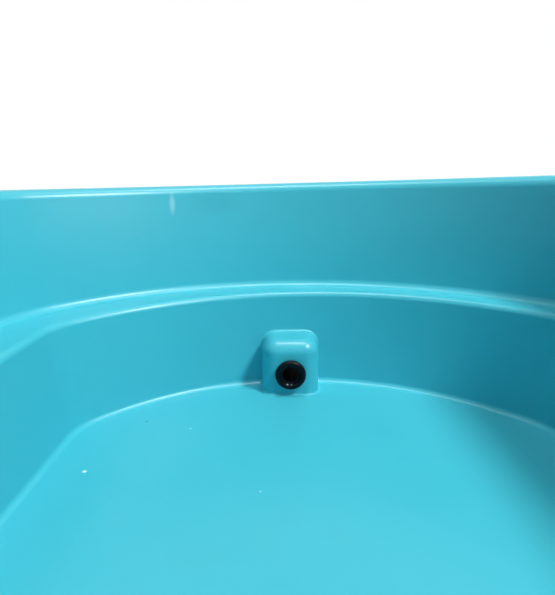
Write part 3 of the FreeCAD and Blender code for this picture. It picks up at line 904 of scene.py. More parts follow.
@dataclass
class Tub:
    """The one-piece moulded tub, with its ledge, rolled rim, drain boss and leg sockets."""

    depth: float = 270.0
    ledge_height: float = 128.0
    wall: float = 5.5
    upper_lean: float = 14.0
    cove_round: float = 10.0
    rim_width: float = 34.0
    rim_inner_round: float = 13.0
    rim_outer_round: float = 10.0
    skirt: float = 32.0
    skirt_flare: float = 2.0
    basin_lean: float = 8.5
    ledge_round: float = 8.0
    floor_round: float = 7.0
    boss_reach: float = 54.0
    boss_half: float = 38.0
    boss_height: float = 74.0
    boss_side_round: float = 18.0
    boss_top_round: float = 18.0
    boss_draft: float = 2.5
    boss_joint_round: float = 3.2
    basin_clear: float = 250.0  # nearer to the end's centre than this there is no wall
    same_column: float = math.radians(0.2)  # points that are closer in angle stand in one column
    hole_radius: float = 13.4
    socket_bore: float = 16.3
    socket_depth: float = 95.0
    socket_flare: float = 5.0
    rib_reach: float = 50.0
    rib_rise: float = 6.0
    rib_round: float = 1.6
    screw_hole: float = 1.95
    end_centre: float = 137.0
    end_radius: float = 390.0
    side_half: float = 322.0
    corner_radius: float = 130.0
    ledge_width: float = 43.0
    basin_corner: float = 70.0
    basin_shift: float = -17.0
    leg_places: Sequence[Vector] = ()
    screw_axles: Sequence[Axle] = ()
    rim_z: float = field(init=False)
    floor_z: float = field(init=False)
    ledge_z: float = field(init=False)
    boss_x: float = field(init=False)
    drain_z: float = field(init=False)

    def __post_init__(self) -> None:
        """Take the heights and the boss's face from the frame."""
        self.rim_z = span("tub_shell")[1].z
        self.floor_z = self.rim_z - self.depth
        self.ledge_z = self.floor_z + self.ledge_height
        self.boss_x = span("flange_gasket")[1].x
        self.drain_z = middle("drain_flange").z

    def upper_plan(self) -> PlanLine:
        """The plan at the back of the ledge."""
        return PlanLine(self.end_centre, self.end_radius, self.side_half, self.corner_radius)

    def basin_plan(self) -> PlanLine:
        """The plan at the front of the ledge, with columns where the boss's sides will be.

        Returns:
            The plan line.
        """
        plan = PlanLine(self.end_centre, self.end_radius - self.ledge_width,
                        self.side_half - self.ledge_width, self.basin_corner, self.basin_shift)
        radius = plan.end_radius - self.basin_lean * 0.75  # about halfway up the boss
        near, far = (math.degrees(math.asin((side * self.boss_half - plan.shift) / radius))
                     for side in (-1.0, 1.0))
        plan.end_runs = ((plan.turn + near, 17), (far - near, 4), (plan.turn - far, 17))
        return plan

    def upper_skin(self) -> list[tuple[float, float, float]]:
        """The section from the ledge up the wall and over the rim to the skirt.

        Returns:
            (outward, up, rounding) of each corner.
        """
        edge = self.upper_lean + self.rim_width
        return [(-self.cove_round, self.ledge_z, 0.0), (0.0, self.ledge_z, self.cove_round),
                (self.upper_lean, self.rim_z, self.rim_inner_round),
                (edge, self.rim_z, self.rim_outer_round),
                (edge + self.skirt_flare, self.rim_z - self.skirt, 0.0)]

    def basin_skin(self) -> list[tuple[float, float, float]]:
        """The section from the floor up the lower wall to the ledge.

        Returns:
            (outward, up, rounding) of each corner.
        """
        at_boss = -self.basin_lean * (1.0 - self.boss_height / self.ledge_height)
        return [(-self.basin_lean - self.floor_round, self.floor_z, 0.0),
                (-self.basin_lean, self.floor_z, self.floor_round),
                (at_boss, self.floor_z + self.boss_height, 0.0),
                (0.0, self.ledge_z, self.ledge_round),
                (self.ledge_round, self.ledge_z, 0.0)]

    def build(self, material: Material) -> None:
        """Model the tub and dress it.

        Args:
            material: Its plastic.
        """
        upper = self.upper_plan().carry("tub_upper", self.upper_skin(), 6).close()
        basin = self.raise_boss(self.basin_plan().carry("tub_basin", self.basin_skin(), 6))
        tub = join([basin, upper])
        tub.name = tub.data.name = "moulded_tub"
        self.close_ledge(tub)
        self.round_boss(tub)
        finish_with(tub, "SOLIDIFY", thickness=self.wall * MM, offset=-1.0, use_even_offset=True,
                    use_quality_normals=True)
        self.pierce(tub)
        tub = self.add_sockets(tub)
        smooth(tub, 40.0)
        dress(tub, "tub", material, ["tub_shell"])

    def raise_boss(self, bench: Bench) -> Thing:
        """Pull the boss out of the drain end's wall and fill the floor round it.

        Args:
            bench: The carried basin.

        Returns:
            The basin with its boss and floor.
        """
        top = self.floor_z + self.boss_height
        plan = self.basin_plan()
        first, _, last = plan.end_runs
        self.straighten(bench, -1.0, first[0] - plan.turn)
        self.straighten(bench, 1.0, plan.turn - last[0])
        wall_x = self.boss_x + self.boss_reach
        bench.pick(Pick.FACES, lambda at, _: at.x > self.boss_x and abs(at.y) < self.boss_half
                   and at.z < top)
        bench.pull(-20.0 * X)  # any way in: the next line flattens it onto the boss's face
        bpy.ops.transform.resize(value=(0.0, 1.0, 1.0), center_override=(self.boss_x * MM, 0.0, 0.0))
        bench.pick(Pick.FACES, lambda at, run: abs(run.z) > 0.99 and at.z < self.floor_z + TOUCH)
        bpy.ops.mesh.delete(type="FACE")
        for test in (lambda at, run: abs(at.x - self.boss_x) < TOUCH,
                     lambda at, run: abs(run.z) > 0.9 and abs(at.z - top) < TOUCH and at.x < wall_x + 4.0,
                     lambda at, run: run.y > 0.7 and self.beside_boss(at),
                     lambda at, run: run.y < -0.7 and self.beside_boss(at)):
            bench.pick(Pick.FACES, test)
            bpy.ops.mesh.dissolve_faces(use_verts=True)
        bench.pick(Pick.FACES, lambda at, run: at.x < wall_x - 1.0 and abs(at.y) < self.boss_half + 2.0
                   and at.z < top + TOUCH)
        bpy.ops.mesh.dissolve_limited(angle_limit=math.radians(1.0))
        bench.pick(Pick.EDGES, lambda at, run: at.x > self.boss_x + 30.0 and self.boss_half - 1.0 < abs(at.y)
                   and (abs(at.z - top) < TOUCH and abs(at.y) < self.boss_half + 12.0
                        or at.z > top + 5.0 and abs(run.z) > 20.0 and abs(at.y) < self.boss_half + 1.0))
        bpy.ops.mesh.dissolve_edges(use_verts=False)
        bench.pick(Pick.EDGES, lambda at, run: abs(at.z - self.floor_z) < FLUSH and abs(run.z) < FLUSH)
        bpy.ops.mesh.edge_face_add()
        bench.weld()
        return bench.close()

    def beside_boss(self, at: Vector) -> bool:
        """Whether a face's middle is on one of the boss's sides."""
        far = self.boss_x + self.boss_reach - 11.0
        return abs(abs(at.y) - self.boss_half) < 2.0 and self.boss_x < at.x < far

    def straighten(self, bench: Bench, side: float, degrees: float) -> None:
        """Swing one column of the wall, up to the boss's top, onto the plane of the boss's side.

        Args:
            bench: The bench.
            side: 1 or -1, the side along Y.
            degrees: Where the column is on the end's arc.
        """
        top = self.floor_z + self.boss_height + TOUCH
        ray = Vector((math.cos(math.radians(degrees)), math.sin(math.radians(degrees)), 0.0))
        centre = Vector((self.end_centre, self.basin_shift, 0.0))
        mesh = bmesh.from_edit_mesh(bench.thing.data)
        places = []
        for point in mesh.verts:
            out = point.co / MM - centre
            flat = Vector((out.x, out.y, 0.0))
            if out.z < top and flat.length > self.basin_clear and flat.angle(ray) < self.same_column:
                places.append(point.co / MM)
        for place in places:
            radius = (Vector((place.x, place.y, 0.0)) - centre).length
            y = side * self.boss_half
            x = centre.x + math.sqrt(radius ** 2 - (y - centre.y) ** 2)
            bench.pick(Pick.POINTS, lambda at, _, here=place: (at - here).length < SPOT)
            bpy.ops.transform.translate(value=Vector((x - place.x, y - place.y, 0.0)) * MM)

    def close_ledge(self, tub: Thing) -> None:
        """Bridge the two loops that face each other across the ledge.

        Args:
            tub: The joined basin and upper wall.
        """
        bench = Bench.reopened(tub)
        bench.rims(lambda at, run: abs(at.z - self.ledge_z) < FLUSH)
        bpy.ops.mesh.bridge_edge_loops()
        bench.weld()
        bench.close()

    def round_boss(self, tub: Thing) -> None:
        """Round the boss's edges, then ease the ring where it meets the wall and the floor.

        Args:
            tub: The whole skin.
        """
        bench = Bench.reopened(tub)
        top = self.floor_z + self.boss_height
        front = self.boss_x + self.boss_side_round + 1.0
        bench.pick(Pick.POINTS, lambda at, _: abs(at.x - self.boss_x) < TOUCH and abs(at.z - top) < TOUCH)
        bpy.ops.transform.resize(value=(1.0, 1.0 - self.boss_draft / self.boss_half, 1.0),
                                 center_override=(0.0, 0.0, 0.0))
        bench.pick(Pick.EDGES, lambda at, run: self.on_boss(at) and abs(run.z) > 50.0 and at.x < front)
        bench.bevel(self.boss_side_round, 7)
        bench.pick(Pick.EDGES, lambda at, run: self.on_boss(at) and abs(run.z) < TOUCH and at.z > top - TOUCH
                   and (at.x < front or abs(run.x) > 20.0))
        bench.bevel(self.boss_top_round, 7)
        bench.sharp(30.0, lambda at, _: self.on_boss(at))
        bench.bevel(self.boss_joint_round, 4)
        Bench.everything()
        bpy.ops.mesh.dissolve_degenerate(threshold=1e-4)
        bench.weld()
        bench.close()

    def on_boss(self, at: Vector) -> bool:
        """Whether a place is on the boss, from its face to where it meets the wall.

        Args:
            at: The place, in millimetres.

        Returns:
            True if it is.
        """
        top = self.floor_z + self.boss_height
        return (-TOUCH < at.x - self.boss_x < self.boss_reach + 1.0 and abs(at.y) < self.boss_half + TOUCH
                and at.z < top + TOUCH)

    def pierce(self, tub: Thing) -> None:
        """Cut the drain's hole and the eyes' screw holes.

        Args:
            tub: The thick-walled tub.
        """
        drain = Axle(Vector((self.boss_x, 0.0, self.drain_z)), X, Z)
        carve(tub, Bench.drum("drain_hole", drain, -4.0, 20.0, self.hole_radius, 48).close())
        for axle in self.screw_axles:
            carve(tub, Bench.drum("screw_hole", axle, -12.0, 4.0, self.screw_hole, 16).close())

    def add_sockets(self, tub: Thing) -> Thing:
        """Model one leg socket with its rib, and stand a copy under the ledge at every leg.

        Args:
            tub: The tub.

        Returns:
            The tub with its sockets.
        """
        under = self.ledge_z - self.wall
        outside = self.socket_bore + self.wall
        low, high = -self.socket_depth, self.wall * 0.7
        socket = Bench.lathe("socket", UPRIGHT, [
            (low, self.socket_bore, 0.8), (low, outside, 2.0), (-self.socket_flare, outside, 4.0),
            (high, outside + self.socket_flare, 0.0), (high, 1.0, 0.0), (0.0, 1.0, 0.0),
            (0.0, self.socket_bore, 1.5)], 56, 4)
        bench = Bench.block("rib", Vector((-self.rib_reach, -self.wall / 2.0, low + self.rib_rise)),
                            Vector((-self.socket_bore - 2.0, self.wall / 2.0, high / 2.0)))
        bench.pick(Pick.EDGES, lambda at, run: abs(run.x) > 1.0 and at.z < -20.0)
        bench.bevel(self.rib_round, 4)
        carve(socket, bench.close(), Carve.BOTH)
        sockets = []
        for i, place in enumerate(self.leg_places):
            turn = math.atan2(math.copysign(1.0, place.y), math.copysign(1.0, place.x))
            move = Matrix.Translation(Vector((place.x, place.y, under))) @ Matrix.Rotation(turn, 4, "Z")
            sockets.append(copied(socket, f"socket_{i}", move))
        bpy.data.meshes.remove(socket.data)
        trimmed = join(sockets)
        carve(trimmed, self.cavity(self.wall / 2.0))
        return join([tub, trimmed])

    def cavity(self, grow: float) -> Thing:
        """The basin's hollow as a solid block.

        Args:
            grow: How far its wall is moved outward.

        Returns:
            The block.
        """
        below = 40.0
        lower = grow - self.basin_lean * (1.0 + below / self.ledge_height)
        bench = self.basin_plan().carry("cavity", [
            (lower, self.floor_z - below, 0.0), (grow, self.ledge_z, 0.0)], 1)
        for level in (self.floor_z - below, self.ledge_z):
            bench.rims(lambda at, run, here=level: abs(at.z - here) < FLUSH)
            bpy.ops.mesh.edge_face_add()
        bench.weld()
        return bench.close()


# ----------------------------------------------------------------------------------- drain fitting
def thread(start: float, end: float, radius: float, pitch: float, depth: float) -> list[tuple[float, ...]]:
    """The crests and roots of a cut thread, as profile points.

    Args:
        start: Where it starts along the axle.
        end: Where it ends.
        radius: The radius over the crests.
        pitch: Crest to crest.
        depth: Crest to root.

    Returns:
        (along, radius) points.
    """
    turns = max(1, round(abs(end - start) / pitch))
    step = (end - start) / turns
    made = []
    for i in range(turns):
        at = start + i * step
        made += [(at + step * 0.05, radius - depth), (at + step * 0.40, radius),
                 (at + step * 0.60, radius), (at + step * 0.95, radius - depth)]
    return made


def hexagon(name: str, axle: Axle, start: float, end: float, flats: float, bore: float,
            eased: float = 1.0) -> Thing:
    """A hexagon nut or head with turned-down corners at both ends and an eased bore.

    Args:
        name: The mesh's name.
        axle: The line it is on.
        start: Where it starts along the line.
        end: Where it ends.
        flats: The width over the flats.
        bore: The bore's radius, or 0 for none.
        eased: How far its corners are turned down.

    Returns:
        The mesh object.
    """
    corner = flats / math.sqrt(3.0)
    prism = Bench.drum(name, axle, start, end, corner, 6).close()
    round_flat = flats / 2.0
    ease = 0.4 if bore > 0.0 else 0.0
    blank = Bench.lathe(f"{name}_blank", axle, [
        (start, bore, ease), (start, round_flat - 0.2, 0.3), (start + eased, corner + 0.3, 0.0),
        (end - eased, corner + 0.3, 0.0), (end, round_flat - 0.2, 0.3), (end, bore, ease)], 48, 2)
    carve(prism, blank, Carve.SHARED)
    return prism


@dataclass
class DrainFitting:
    """The black drain: a lipped flange with a stepped mouth, its gasket and its nut."""

    flange_radius: float = 20.0
    lip: float = 6.0
    recess_radius: float = 12.6
    recess_depth: float = 5.0
    bore: float = 10.0
    shank_radius: float = 13.2
    pitch: float = 1.8
    thread_depth: float = 0.95
    nut_flats: float = 36.0
    axle: Axle = field(init=False)
    back: float = field(init=False)
    shank_end: float = field(init=False)

    def __post_init__(self) -> None:
        """Take the axis and the places along it from the frame."""
        face = span("flange_gasket")[1].x
        self.axle = Axle(Vector((face, 0.0, middle("drain_flange").z)), X, Z)
        self.back = span("flange_gasket")[0].x - face
        self.shank_end = span("drain_flange")[1].x - face

    def build(self, nylon: Material, way: Material, rubber: Material) -> None:
        """Model the fitting and dress it.

        Args:
            nylon: The flange's and nut's finish.
            way: The darker finish inside the bore, painted shade.
            rubber: The gasket's finish.
        """
        flange = dress(self.flange(), "tub", nylon, ["drain_flange"])
        # The bore's wall gets the darker finish: painted shade.
        shade_bore(flange, self.axle, self.bore, way)
        dress(self.gasket(), "tub", rubber, ["flange_gasket"])
        dress(self.nut(), "tub", nylon, ["drain_nut"])

    def flange(self) -> Thing:
        """The lip, a bead that rolls over into a stepped mouth, and the threaded shank.

        Returns:
            The mesh object.
        """
        front = self.back - self.lip
        floor = front + self.recess_depth
        profile = [(self.back, self.shank_radius - 0.9), (self.back, self.flange_radius, 0.5),
                   (front, self.flange_radius, 3.6), (front, self.recess_radius + 0.9, 2.4),
                   (front + 2.6, self.recess_radius, 0.5), (floor, self.recess_radius, 0.6),
                   (floor, self.bore, 0.5), (self.shank_end, self.bore, 0.5),
                   (self.shank_end, self.shank_radius - 1.0, 0.4)]
        turns = thread(self.back + 2.0, self.shank_end - 1.0, self.shank_radius, self.pitch,
                       self.thread_depth)
        profile += reversed(turns)
        flange = Bench.lathe("drain_flange_moulding", self.axle, profile, 96, 6)
        return smooth(flange, 40.0)

    def gasket(self) -> Thing:
        """The soft ring, bulging slightly at its edge.

        Returns:
            The mesh object.
        """
        low, high = span("flange_gasket")
        radius = (high.z - low.z) / 2.0
        ring = Bench.lathe("soft_gasket", self.axle, [
            (self.back, self.shank_radius + 0.1), (self.back, radius, 0.7), (0.0, radius, 0.7),
            (0.0, self.shank_radius + 0.1)], 72, 4)
        return smooth(ring)

    def nut(self) -> Thing:
        """The hexagon nut, its corners turned down.

        Returns:
            The mesh object.
        """
        low, high = span("drain_nut")
        start, end = low.x - self.axle.origin.x, high.x - self.axle.origin.x
        nut = hexagon("clamp_nut", self.axle, start, end, self.nut_flats, self.shank_radius + RUN_FIT, 1.8)
        soften(nut, 0.5, 2)
        return smooth(nut)


# -------------------------------------------------------------------------------------- plug valve
@dataclass
class PlugValve:
    """The drain's plug valve, with its lever at rest in line with the pipe."""

    flats: float = 34.0
    bore: float = 9.5
    barrel_radius: float = 18.5
    barrel_end: float = 17.0
    barrel_mouth: float = 21.0
    collar_radius: float = 16.0
    hose_radius: float = 13.45
    hose_pitch: float = 2.2
    hose_depth: float = 1.0
    barrel_groove: float = 0.7
    shank_bore: float = 13.25
    plug_radius: float = 14.0
    plug_end: float = 13.0
    plug_top: float = 15.5
    seal_start: float = 11.0
    seal_thick: float = 2.5
    seal_depth: float = 2.0
    neck_radius: float = 7.0
    tip_radius: float = 4.0
    lever_length: float = 72.0
    hub_radius: float = 11.0
    lever_tip: float = 6.5
    lever_thick: float = 4.0
    lever_round: float = 1.1
    notches: int = 3
    notch_pitch: float = 6.0
    notch_radius: float = 1.5
    notch_above: float = 0.9  # how far the middle of a notch's arc is outside the lever's face
    nut_flats: float = 13.0
    pipe: Axle = field(init=False)
    stem: Axle = field(init=False)

    def __post_init__(self) -> None:
        """Take the pipe's axis and the plug's axis from the frame."""
        centre = middle("plug_seal")
        self.pipe = Axle(Vector((0.0, 0.0, centre.z)), X, Z)
        self.stem = Axle(Vector((centre.x, 0.0, centre.z)), -Y, Z)

    def build(self, nylon: Material, way: Material, red: Material,
              rubber: Material, steel: Material) -> None:
        """Model the valve and dress it.

        Args:
            nylon: The body's, plug's and cap's finish.
            way: The darker finish inside the bore, painted shade.
            red: The lever's finish.
            rubber: The seal's finish.
            steel: The lever nut's finish.
        """
        body = dress(self.body(), "tub", nylon, ["valve_body"])
        # The bores' walls get the darker finish: painted shade.
        shade_bore(body, self.pipe, self.bore, way)
        dress(self.cap(), "tub", nylon, ["valve_cap"])
        plug = dress(self.plug(), "valve_key", nylon, ["valve_plug"])
        shade_bore(plug, self.pipe, self.bore, way)
        dress(self.seal(), "valve_key", rubber, ["plug_seal"])
        dress(self.lever(), "valve_key", red, ["valve_lever"])
        dress(self.nut(), "valve_key", steel, ["lever_nut"])

    def body(self) -> Thing:
        """The hexagonal inlet, the barrel across it, the collar and the threaded spigot.

        Returns:
            The mesh object.
        """
        low, high = span("valve_body")
        centre = self.stem.origin.x
        shank_end = span("drain_flange")[1].x
        blank = hexagon("valve_casting", self.pipe, low.x, centre + 4.0, self.flats, 0.0, 1.8)
        mouth, groove = self.barrel_mouth, self.barrel_radius - self.barrel_groove
        barrel = Bench.lathe("barrel", self.stem, [
            (-self.barrel_end, 0.0), (-self.barrel_end, self.barrel_radius, 2.5),
            (mouth - 4.0, self.barrel_radius, 0.6), (mouth - 3.4, groove, 0.3),
            (mouth - 2.4, groove, 0.3), (mouth - 1.8, self.barrel_radius, 0.6),
            (mouth, self.barrel_radius, 0.8), (mouth, 0.0)], 72, 4)
        carve(blank, barrel, Carve.BOTH)
        collar_end = centre + self.barrel_radius + 1.0
        spigot = [(centre, 0.0), (centre, self.collar_radius), (collar_end, self.collar_radius, 0.4),
                  (collar_end, self.hose_radius - 1.0, 0.3)]
        spigot += thread(collar_end + 0.6, high.x - 1.0, self.hose_radius, self.hose_pitch,
                         self.hose_depth)
        spigot += [(high.x, self.hose_radius - 1.2, 0.3), (high.x, 0.0)]
        carve(blank, Bench.lathe("spigot", self.pipe, spigot, 72, 3), Carve.BOTH)
        carve(blank, Bench.drum("way", self.pipe, shank_end - 1.0, high.x + 1.0, self.bore, 64).close())
        carve(blank, Bench.drum("socket", self.pipe, low.x - 1.0, shank_end, self.shank_bore, 72).close())
        carve(blank, Bench.drum("chamber", self.stem, -self.plug_end - RUN_FIT, self.barrel_mouth + 1.0,
                                self.plug_radius + RUN_FIT, 72).close())
        return smooth(blank, 32.0)

    def plug(self) -> Thing:
        """The cross-bored plug with its seal groove, neck and tip.

        Returns:
            The mesh object.
        """
        low = span("valve_plug")[0]
        tip = -low.y
        neck = -span("valve_lever")[1].y
        groove = self.plug_radius - self.seal_depth
        plug = Bench.lathe("cross_bored_plug", self.stem, [
            (-self.plug_end, 0.0), (-self.plug_end, self.plug_radius, 0.6),
            (self.seal_start, self.plug_radius, 0.3), (self.seal_start, groove, 0.3),
            (self.seal_start + self.seal_thick, groove, 0.3),
            (self.seal_start + self.seal_thick, self.plug_radius, 0.3),
            (self.plug_top, self.plug_radius, 0.4), (self.plug_top, self.neck_radius, 0.4),
            (neck, self.neck_radius, 0.3), (neck, self.tip_radius, 0.3), (tip, self.tip_radius, 0.9),
            (tip, 0.0)], 72, 3)
        carve(plug, Bench.drum("port", Axle(self.stem.origin, X, Z), -self.plug_radius - 1.0,
                               self.plug_radius + 1.0, self.bore, 64).close())
        return smooth(plug)

    def seal(self) -> Thing:
        """The soft ring in the plug's groove, with a rounded outside.

        Returns:
            The mesh object.
        """
        inner = self.plug_radius - self.seal_depth + RUN_FIT
        start = self.seal_start + RUN_FIT
        end = self.seal_start + self.seal_thick - RUN_FIT
        ring = Bench.lathe("soft_seal", self.stem, [
            (start, inner, 0.4), (start, self.plug_radius, 0.9),
            (end, self.plug_radius, 0.9), (end, inner, 0.4)], 72, 4)
        return smooth(ring)

    def cap(self) -> Thing:
        """The screwed ring that keeps the plug in, with a hexagonal head.

        Returns:
            The mesh object.
        """
        low, high = span("valve_cap")
        start, end = -high.y, -low.y
        bore = self.neck_radius + RUN_FIT
        head = hexagon("retaining_cap", self.stem, self.barrel_mouth, end, self.flats, 0.0, 1.2)
        skirt = Bench.lathe("skirt", self.stem, [
            (start, 0.0), (start, self.plug_radius, 0.6), (self.barrel_mouth + 0.5, self.plug_radius),
            (self.barrel_mouth + 0.5, 0.0)], 72, 3)
        carve(head, skirt, Carve.BOTH)
        carve(head, Bench.drum("bore", self.stem, start - 1.0, end + 1.0, bore, 48).close())
        return smooth(head)

    def lever(self) -> Thing:
        """The tapered lever with rounded edges and three finger notches.

        Returns:
            The mesh object.
        """
        low, high = span("valve_lever")
        start = -high.y
        hub = self.stem.origin + Vector((0.0, -start, 0.0))
        reach = self.lever_length - self.lever_tip
        lean = math.asin((self.hub_radius - self.lever_tip) / reach)
        first = Vector((math.sin(lean), 0.0, math.cos(lean)))
        plate = Bench.point("lever", hub + first * self.hub_radius)
        bpy.ops.mesh.spin(steps=24, angle=math.pi + 2.0 * lean, center=hub * MM, axis=Y)
        tip = hub + X * reach
        last = Vector((first.x, 0.0, -first.z))
        plate.pull(tip + last * self.lever_tip - (hub + last * self.hub_radius))
        bpy.ops.mesh.spin(steps=16, angle=math.pi - 2.0 * lean, center=tip * MM, axis=Y)
        Bench.everything()
        bpy.ops.mesh.remove_doubles(threshold=1e-6)
        bpy.ops.mesh.edge_face_add()
        plate.pull(Vector((0.0, -self.lever_thick, 0.0)))
        plate.weld()
        lever = plate.close()
        soften(lever, self.lever_round, 4)
        carve(lever, Bench.drum("hole", self.stem, start - 1.0, start + self.lever_thick + 1.0,
                                self.tip_radius + RUN_FIT, 40).close())
        for i in range(self.notches):
            along = reach - self.notch_pitch / 2.0 - i * self.notch_pitch
            spot = hub + Vector((along, -self.lever_thick - self.notch_above, 0.0))
            carve(lever, Bench.drum("notch", Axle(spot, Z, X), -20.0, 20.0, self.notch_radius, 20).close())
        return smooth(lever)

    def nut(self) -> Thing:
        """The stainless nut on the lever.

        Returns:
            The mesh object.
        """
        low, high = span("lever_nut")
        nut = hexagon("lever_nut_turned", self.stem, -high.y, -low.y, self.nut_flats,
                      self.tip_radius + RUN_FIT, 0.9)
        return smooth(nut)


# ------------------------------------------------------------------------------------- tether eyes
@dataclass
class TetherEyes:
    """Two bent stainless straps with their screws and nuts, on the rear wall inside the tub."""

    lean: float
    below_rim: float = 48.0
    wall_top: float = Tub.side_half + Tub.upper_lean
    width: float = 14.0
    thick: float = 3.0
    loop: float = 11.0
    rise: float = 6.0
    tab: float = 16.0
    bend: float = 2.2
    tab_round: float = 4.5
    screw_radius: float = 1.75
    screw_flats: float = 6.0
    head: float = 2.6
    nut: float = 2.8
    tail: float = 3.0
    pitch: float = 0.6
    thread_depth: float = 0.3
    wall: float = Tub.wall

    def places(self) -> dict[str, Matrix]:
        """Where each strap sits: its own XY plane on the wall, its Z out into the tub.

        Returns:
            The move of each CAD node's strap, by node.
        """
        rim = span("tub_shell")[1].z
        drop = self.below_rim / math.cos(math.radians(self.lean))
        down = Vector((0.0, -math.sin(math.radians(self.lean)), -math.cos(math.radians(self.lean))))
        made = {}
        for node in ("tether_eye_head", "tether_eye_drain"):
            spot = Vector((middle(node).x, self.wall_top, rim)) + down * drop
            made[node] = Matrix.Translation(spot) @ Matrix.Rotation(math.radians(90.0 - self.lean), 4, "X")
        return made

    def screw_offset(self) -> float:
        """How far each screw is from the strap's middle."""
        return self.loop + self.thick + self.tab / 2.0

    def screw_axles(self) -> list[Axle]:
        """The line of each screw, pointing into the tub.

        Returns:
            Each strap's two lines.
        """
        made = []
        for move in self.places().values():
            turn = move.to_3x3()
            for side in (-1.0, 1.0):
                made.append(Axle(move @ Vector((side * self.screw_offset(), 0.0, 0.0)), turn @ Z, turn @ X))
        return made

    def build(self, steel: Material) -> None:
        """Model one strap and one screw with its nut, and put a copy at every place.

        Args:
            steel: Their finish.
        """
        strap = self.strap()
        screw, nut = self.screw(), self.screw_nut()
        for number, (node, move) in enumerate(self.places().items()):
            which = node.removeprefix("tether_eye_")
            dress(copied(strap, f"strap_{which}", move), "tub", steel, [node])
            for side in (-1.0, 1.0):
                shift = move @ Matrix.Translation(Vector((side * self.screw_offset(), 0.0, 0.0)))
                label = f"{which}_{'left' if side < 0 else 'right'}"
                first = number == 0 and side < 0
                dress(copied(screw, f"screw_{label}", shift), "tub", steel,
                      ["eye_screws"] if first else [])
                dress(copied(nut, f"screw_nut_{label}", shift), "tub", steel,
                      ["eye_nuts"] if first else [])
        for thing in (strap, screw, nut):
            bpy.data.meshes.remove(thing.data)

    def strap(self) -> Thing:
        """One strap, bent from flat bar: tab, leg, loop, leg, tab.

        Returns:
            The mesh object.
        """
        half = self.thick / 2.0
        radius = self.loop + half
        foot = self.loop + self.thick + self.tab
        corners = [Vector((-foot, -self.width / 2.0, half)), Vector((-radius, -self.width / 2.0, half)),
                   Vector((-radius, -self.width / 2.0, self.rise))]
        bench = Bench.line("strap", corners)
        crown = Vector((0.0, -self.width / 2.0, self.rise))
        bpy.ops.mesh.spin(steps=24, angle=math.pi, center=crown * MM, axis=-Y)
        bench.pull(Vector((0.0, 0.0, half - self.rise)))
        bench.pull(Vector((foot - radius, 0.0, 0.0)))
        for side in (-1.0, 1.0):
            here = Vector((side * radius, -self.width / 2.0, half))
            bench.ease_point(here, here + X * side, here + Z, self.bend, 5)
        Bench.everything()
        bench.pull(Vector((0.0, self.width, 0.0)))
        bench.weld()
        bench.pick(Pick.POINTS, lambda at, _: abs(abs(at.x) - foot) < FLUSH)
        bpy.ops.mesh.bevel(offset=self.tab_round * MM, segments=6, profile=0.5, affect="VERTICES")
        strap = bench.close()
        finish_with(strap, "SOLIDIFY", thickness=self.thick * MM, offset=0.0, use_even_offset=True)
        for side in (-1.0, 1.0):
            hole = Axle(Vector((side * self.screw_offset(), 0.0, 0.0)), Z, X)
            bore = self.screw_radius + 2.0 * RUN_FIT
            carve(strap, Bench.drum("hole", hole, -1.0, self.thick + 1.0, bore, 24).close())
        soften(strap, 0.5, 3, degrees=50.0)
        return smooth(strap, 40.0)

    def screw(self) -> Thing:
        """A hexagon-headed screw with a thin washer face and a threaded tail.

        Returns:
            The mesh object.
        """
        end = -(self.wall + self.nut + self.tail)
        head = hexagon("head", UPRIGHT, self.thick + 0.3, self.thick + self.head, self.screw_flats, 0.0, 0.5)
        shank, washer, core = self.screw_radius - RUN_FIT, self.screw_flats / 2.0 - 0.1, 1.2
        above, inside = self.thick + 0.35, self.thick + self.head - 0.15
        profile = [(end, 0.0), (end, self.screw_radius - 0.4, 0.0), (end + 0.4, shank, 0.0)]
        profile += thread(end + 0.6, -self.wall + 0.5, self.screw_radius, self.pitch, self.thread_depth)
        profile += [(-self.wall + 0.6, shank), (self.thick, shank), (self.thick, washer, 0.1),
                    (above, washer, 0.0), (above, core), (inside, core, 0.0), (inside, 0.0)]
        carve(head, Bench.lathe("screw", UPRIGHT, profile, 28, 2), Carve.BOTH)
        return smooth(head)

    def screw_nut(self) -> Thing:
        """The nut behind the wall.

        Returns:
            The mesh object.
        """
        nut = hexagon("nut", UPRIGHT, -self.wall - self.nut, -self.wall, self.screw_flats,
                      self.screw_radius + RUN_FIT, 0.5)
        return smooth(nut)


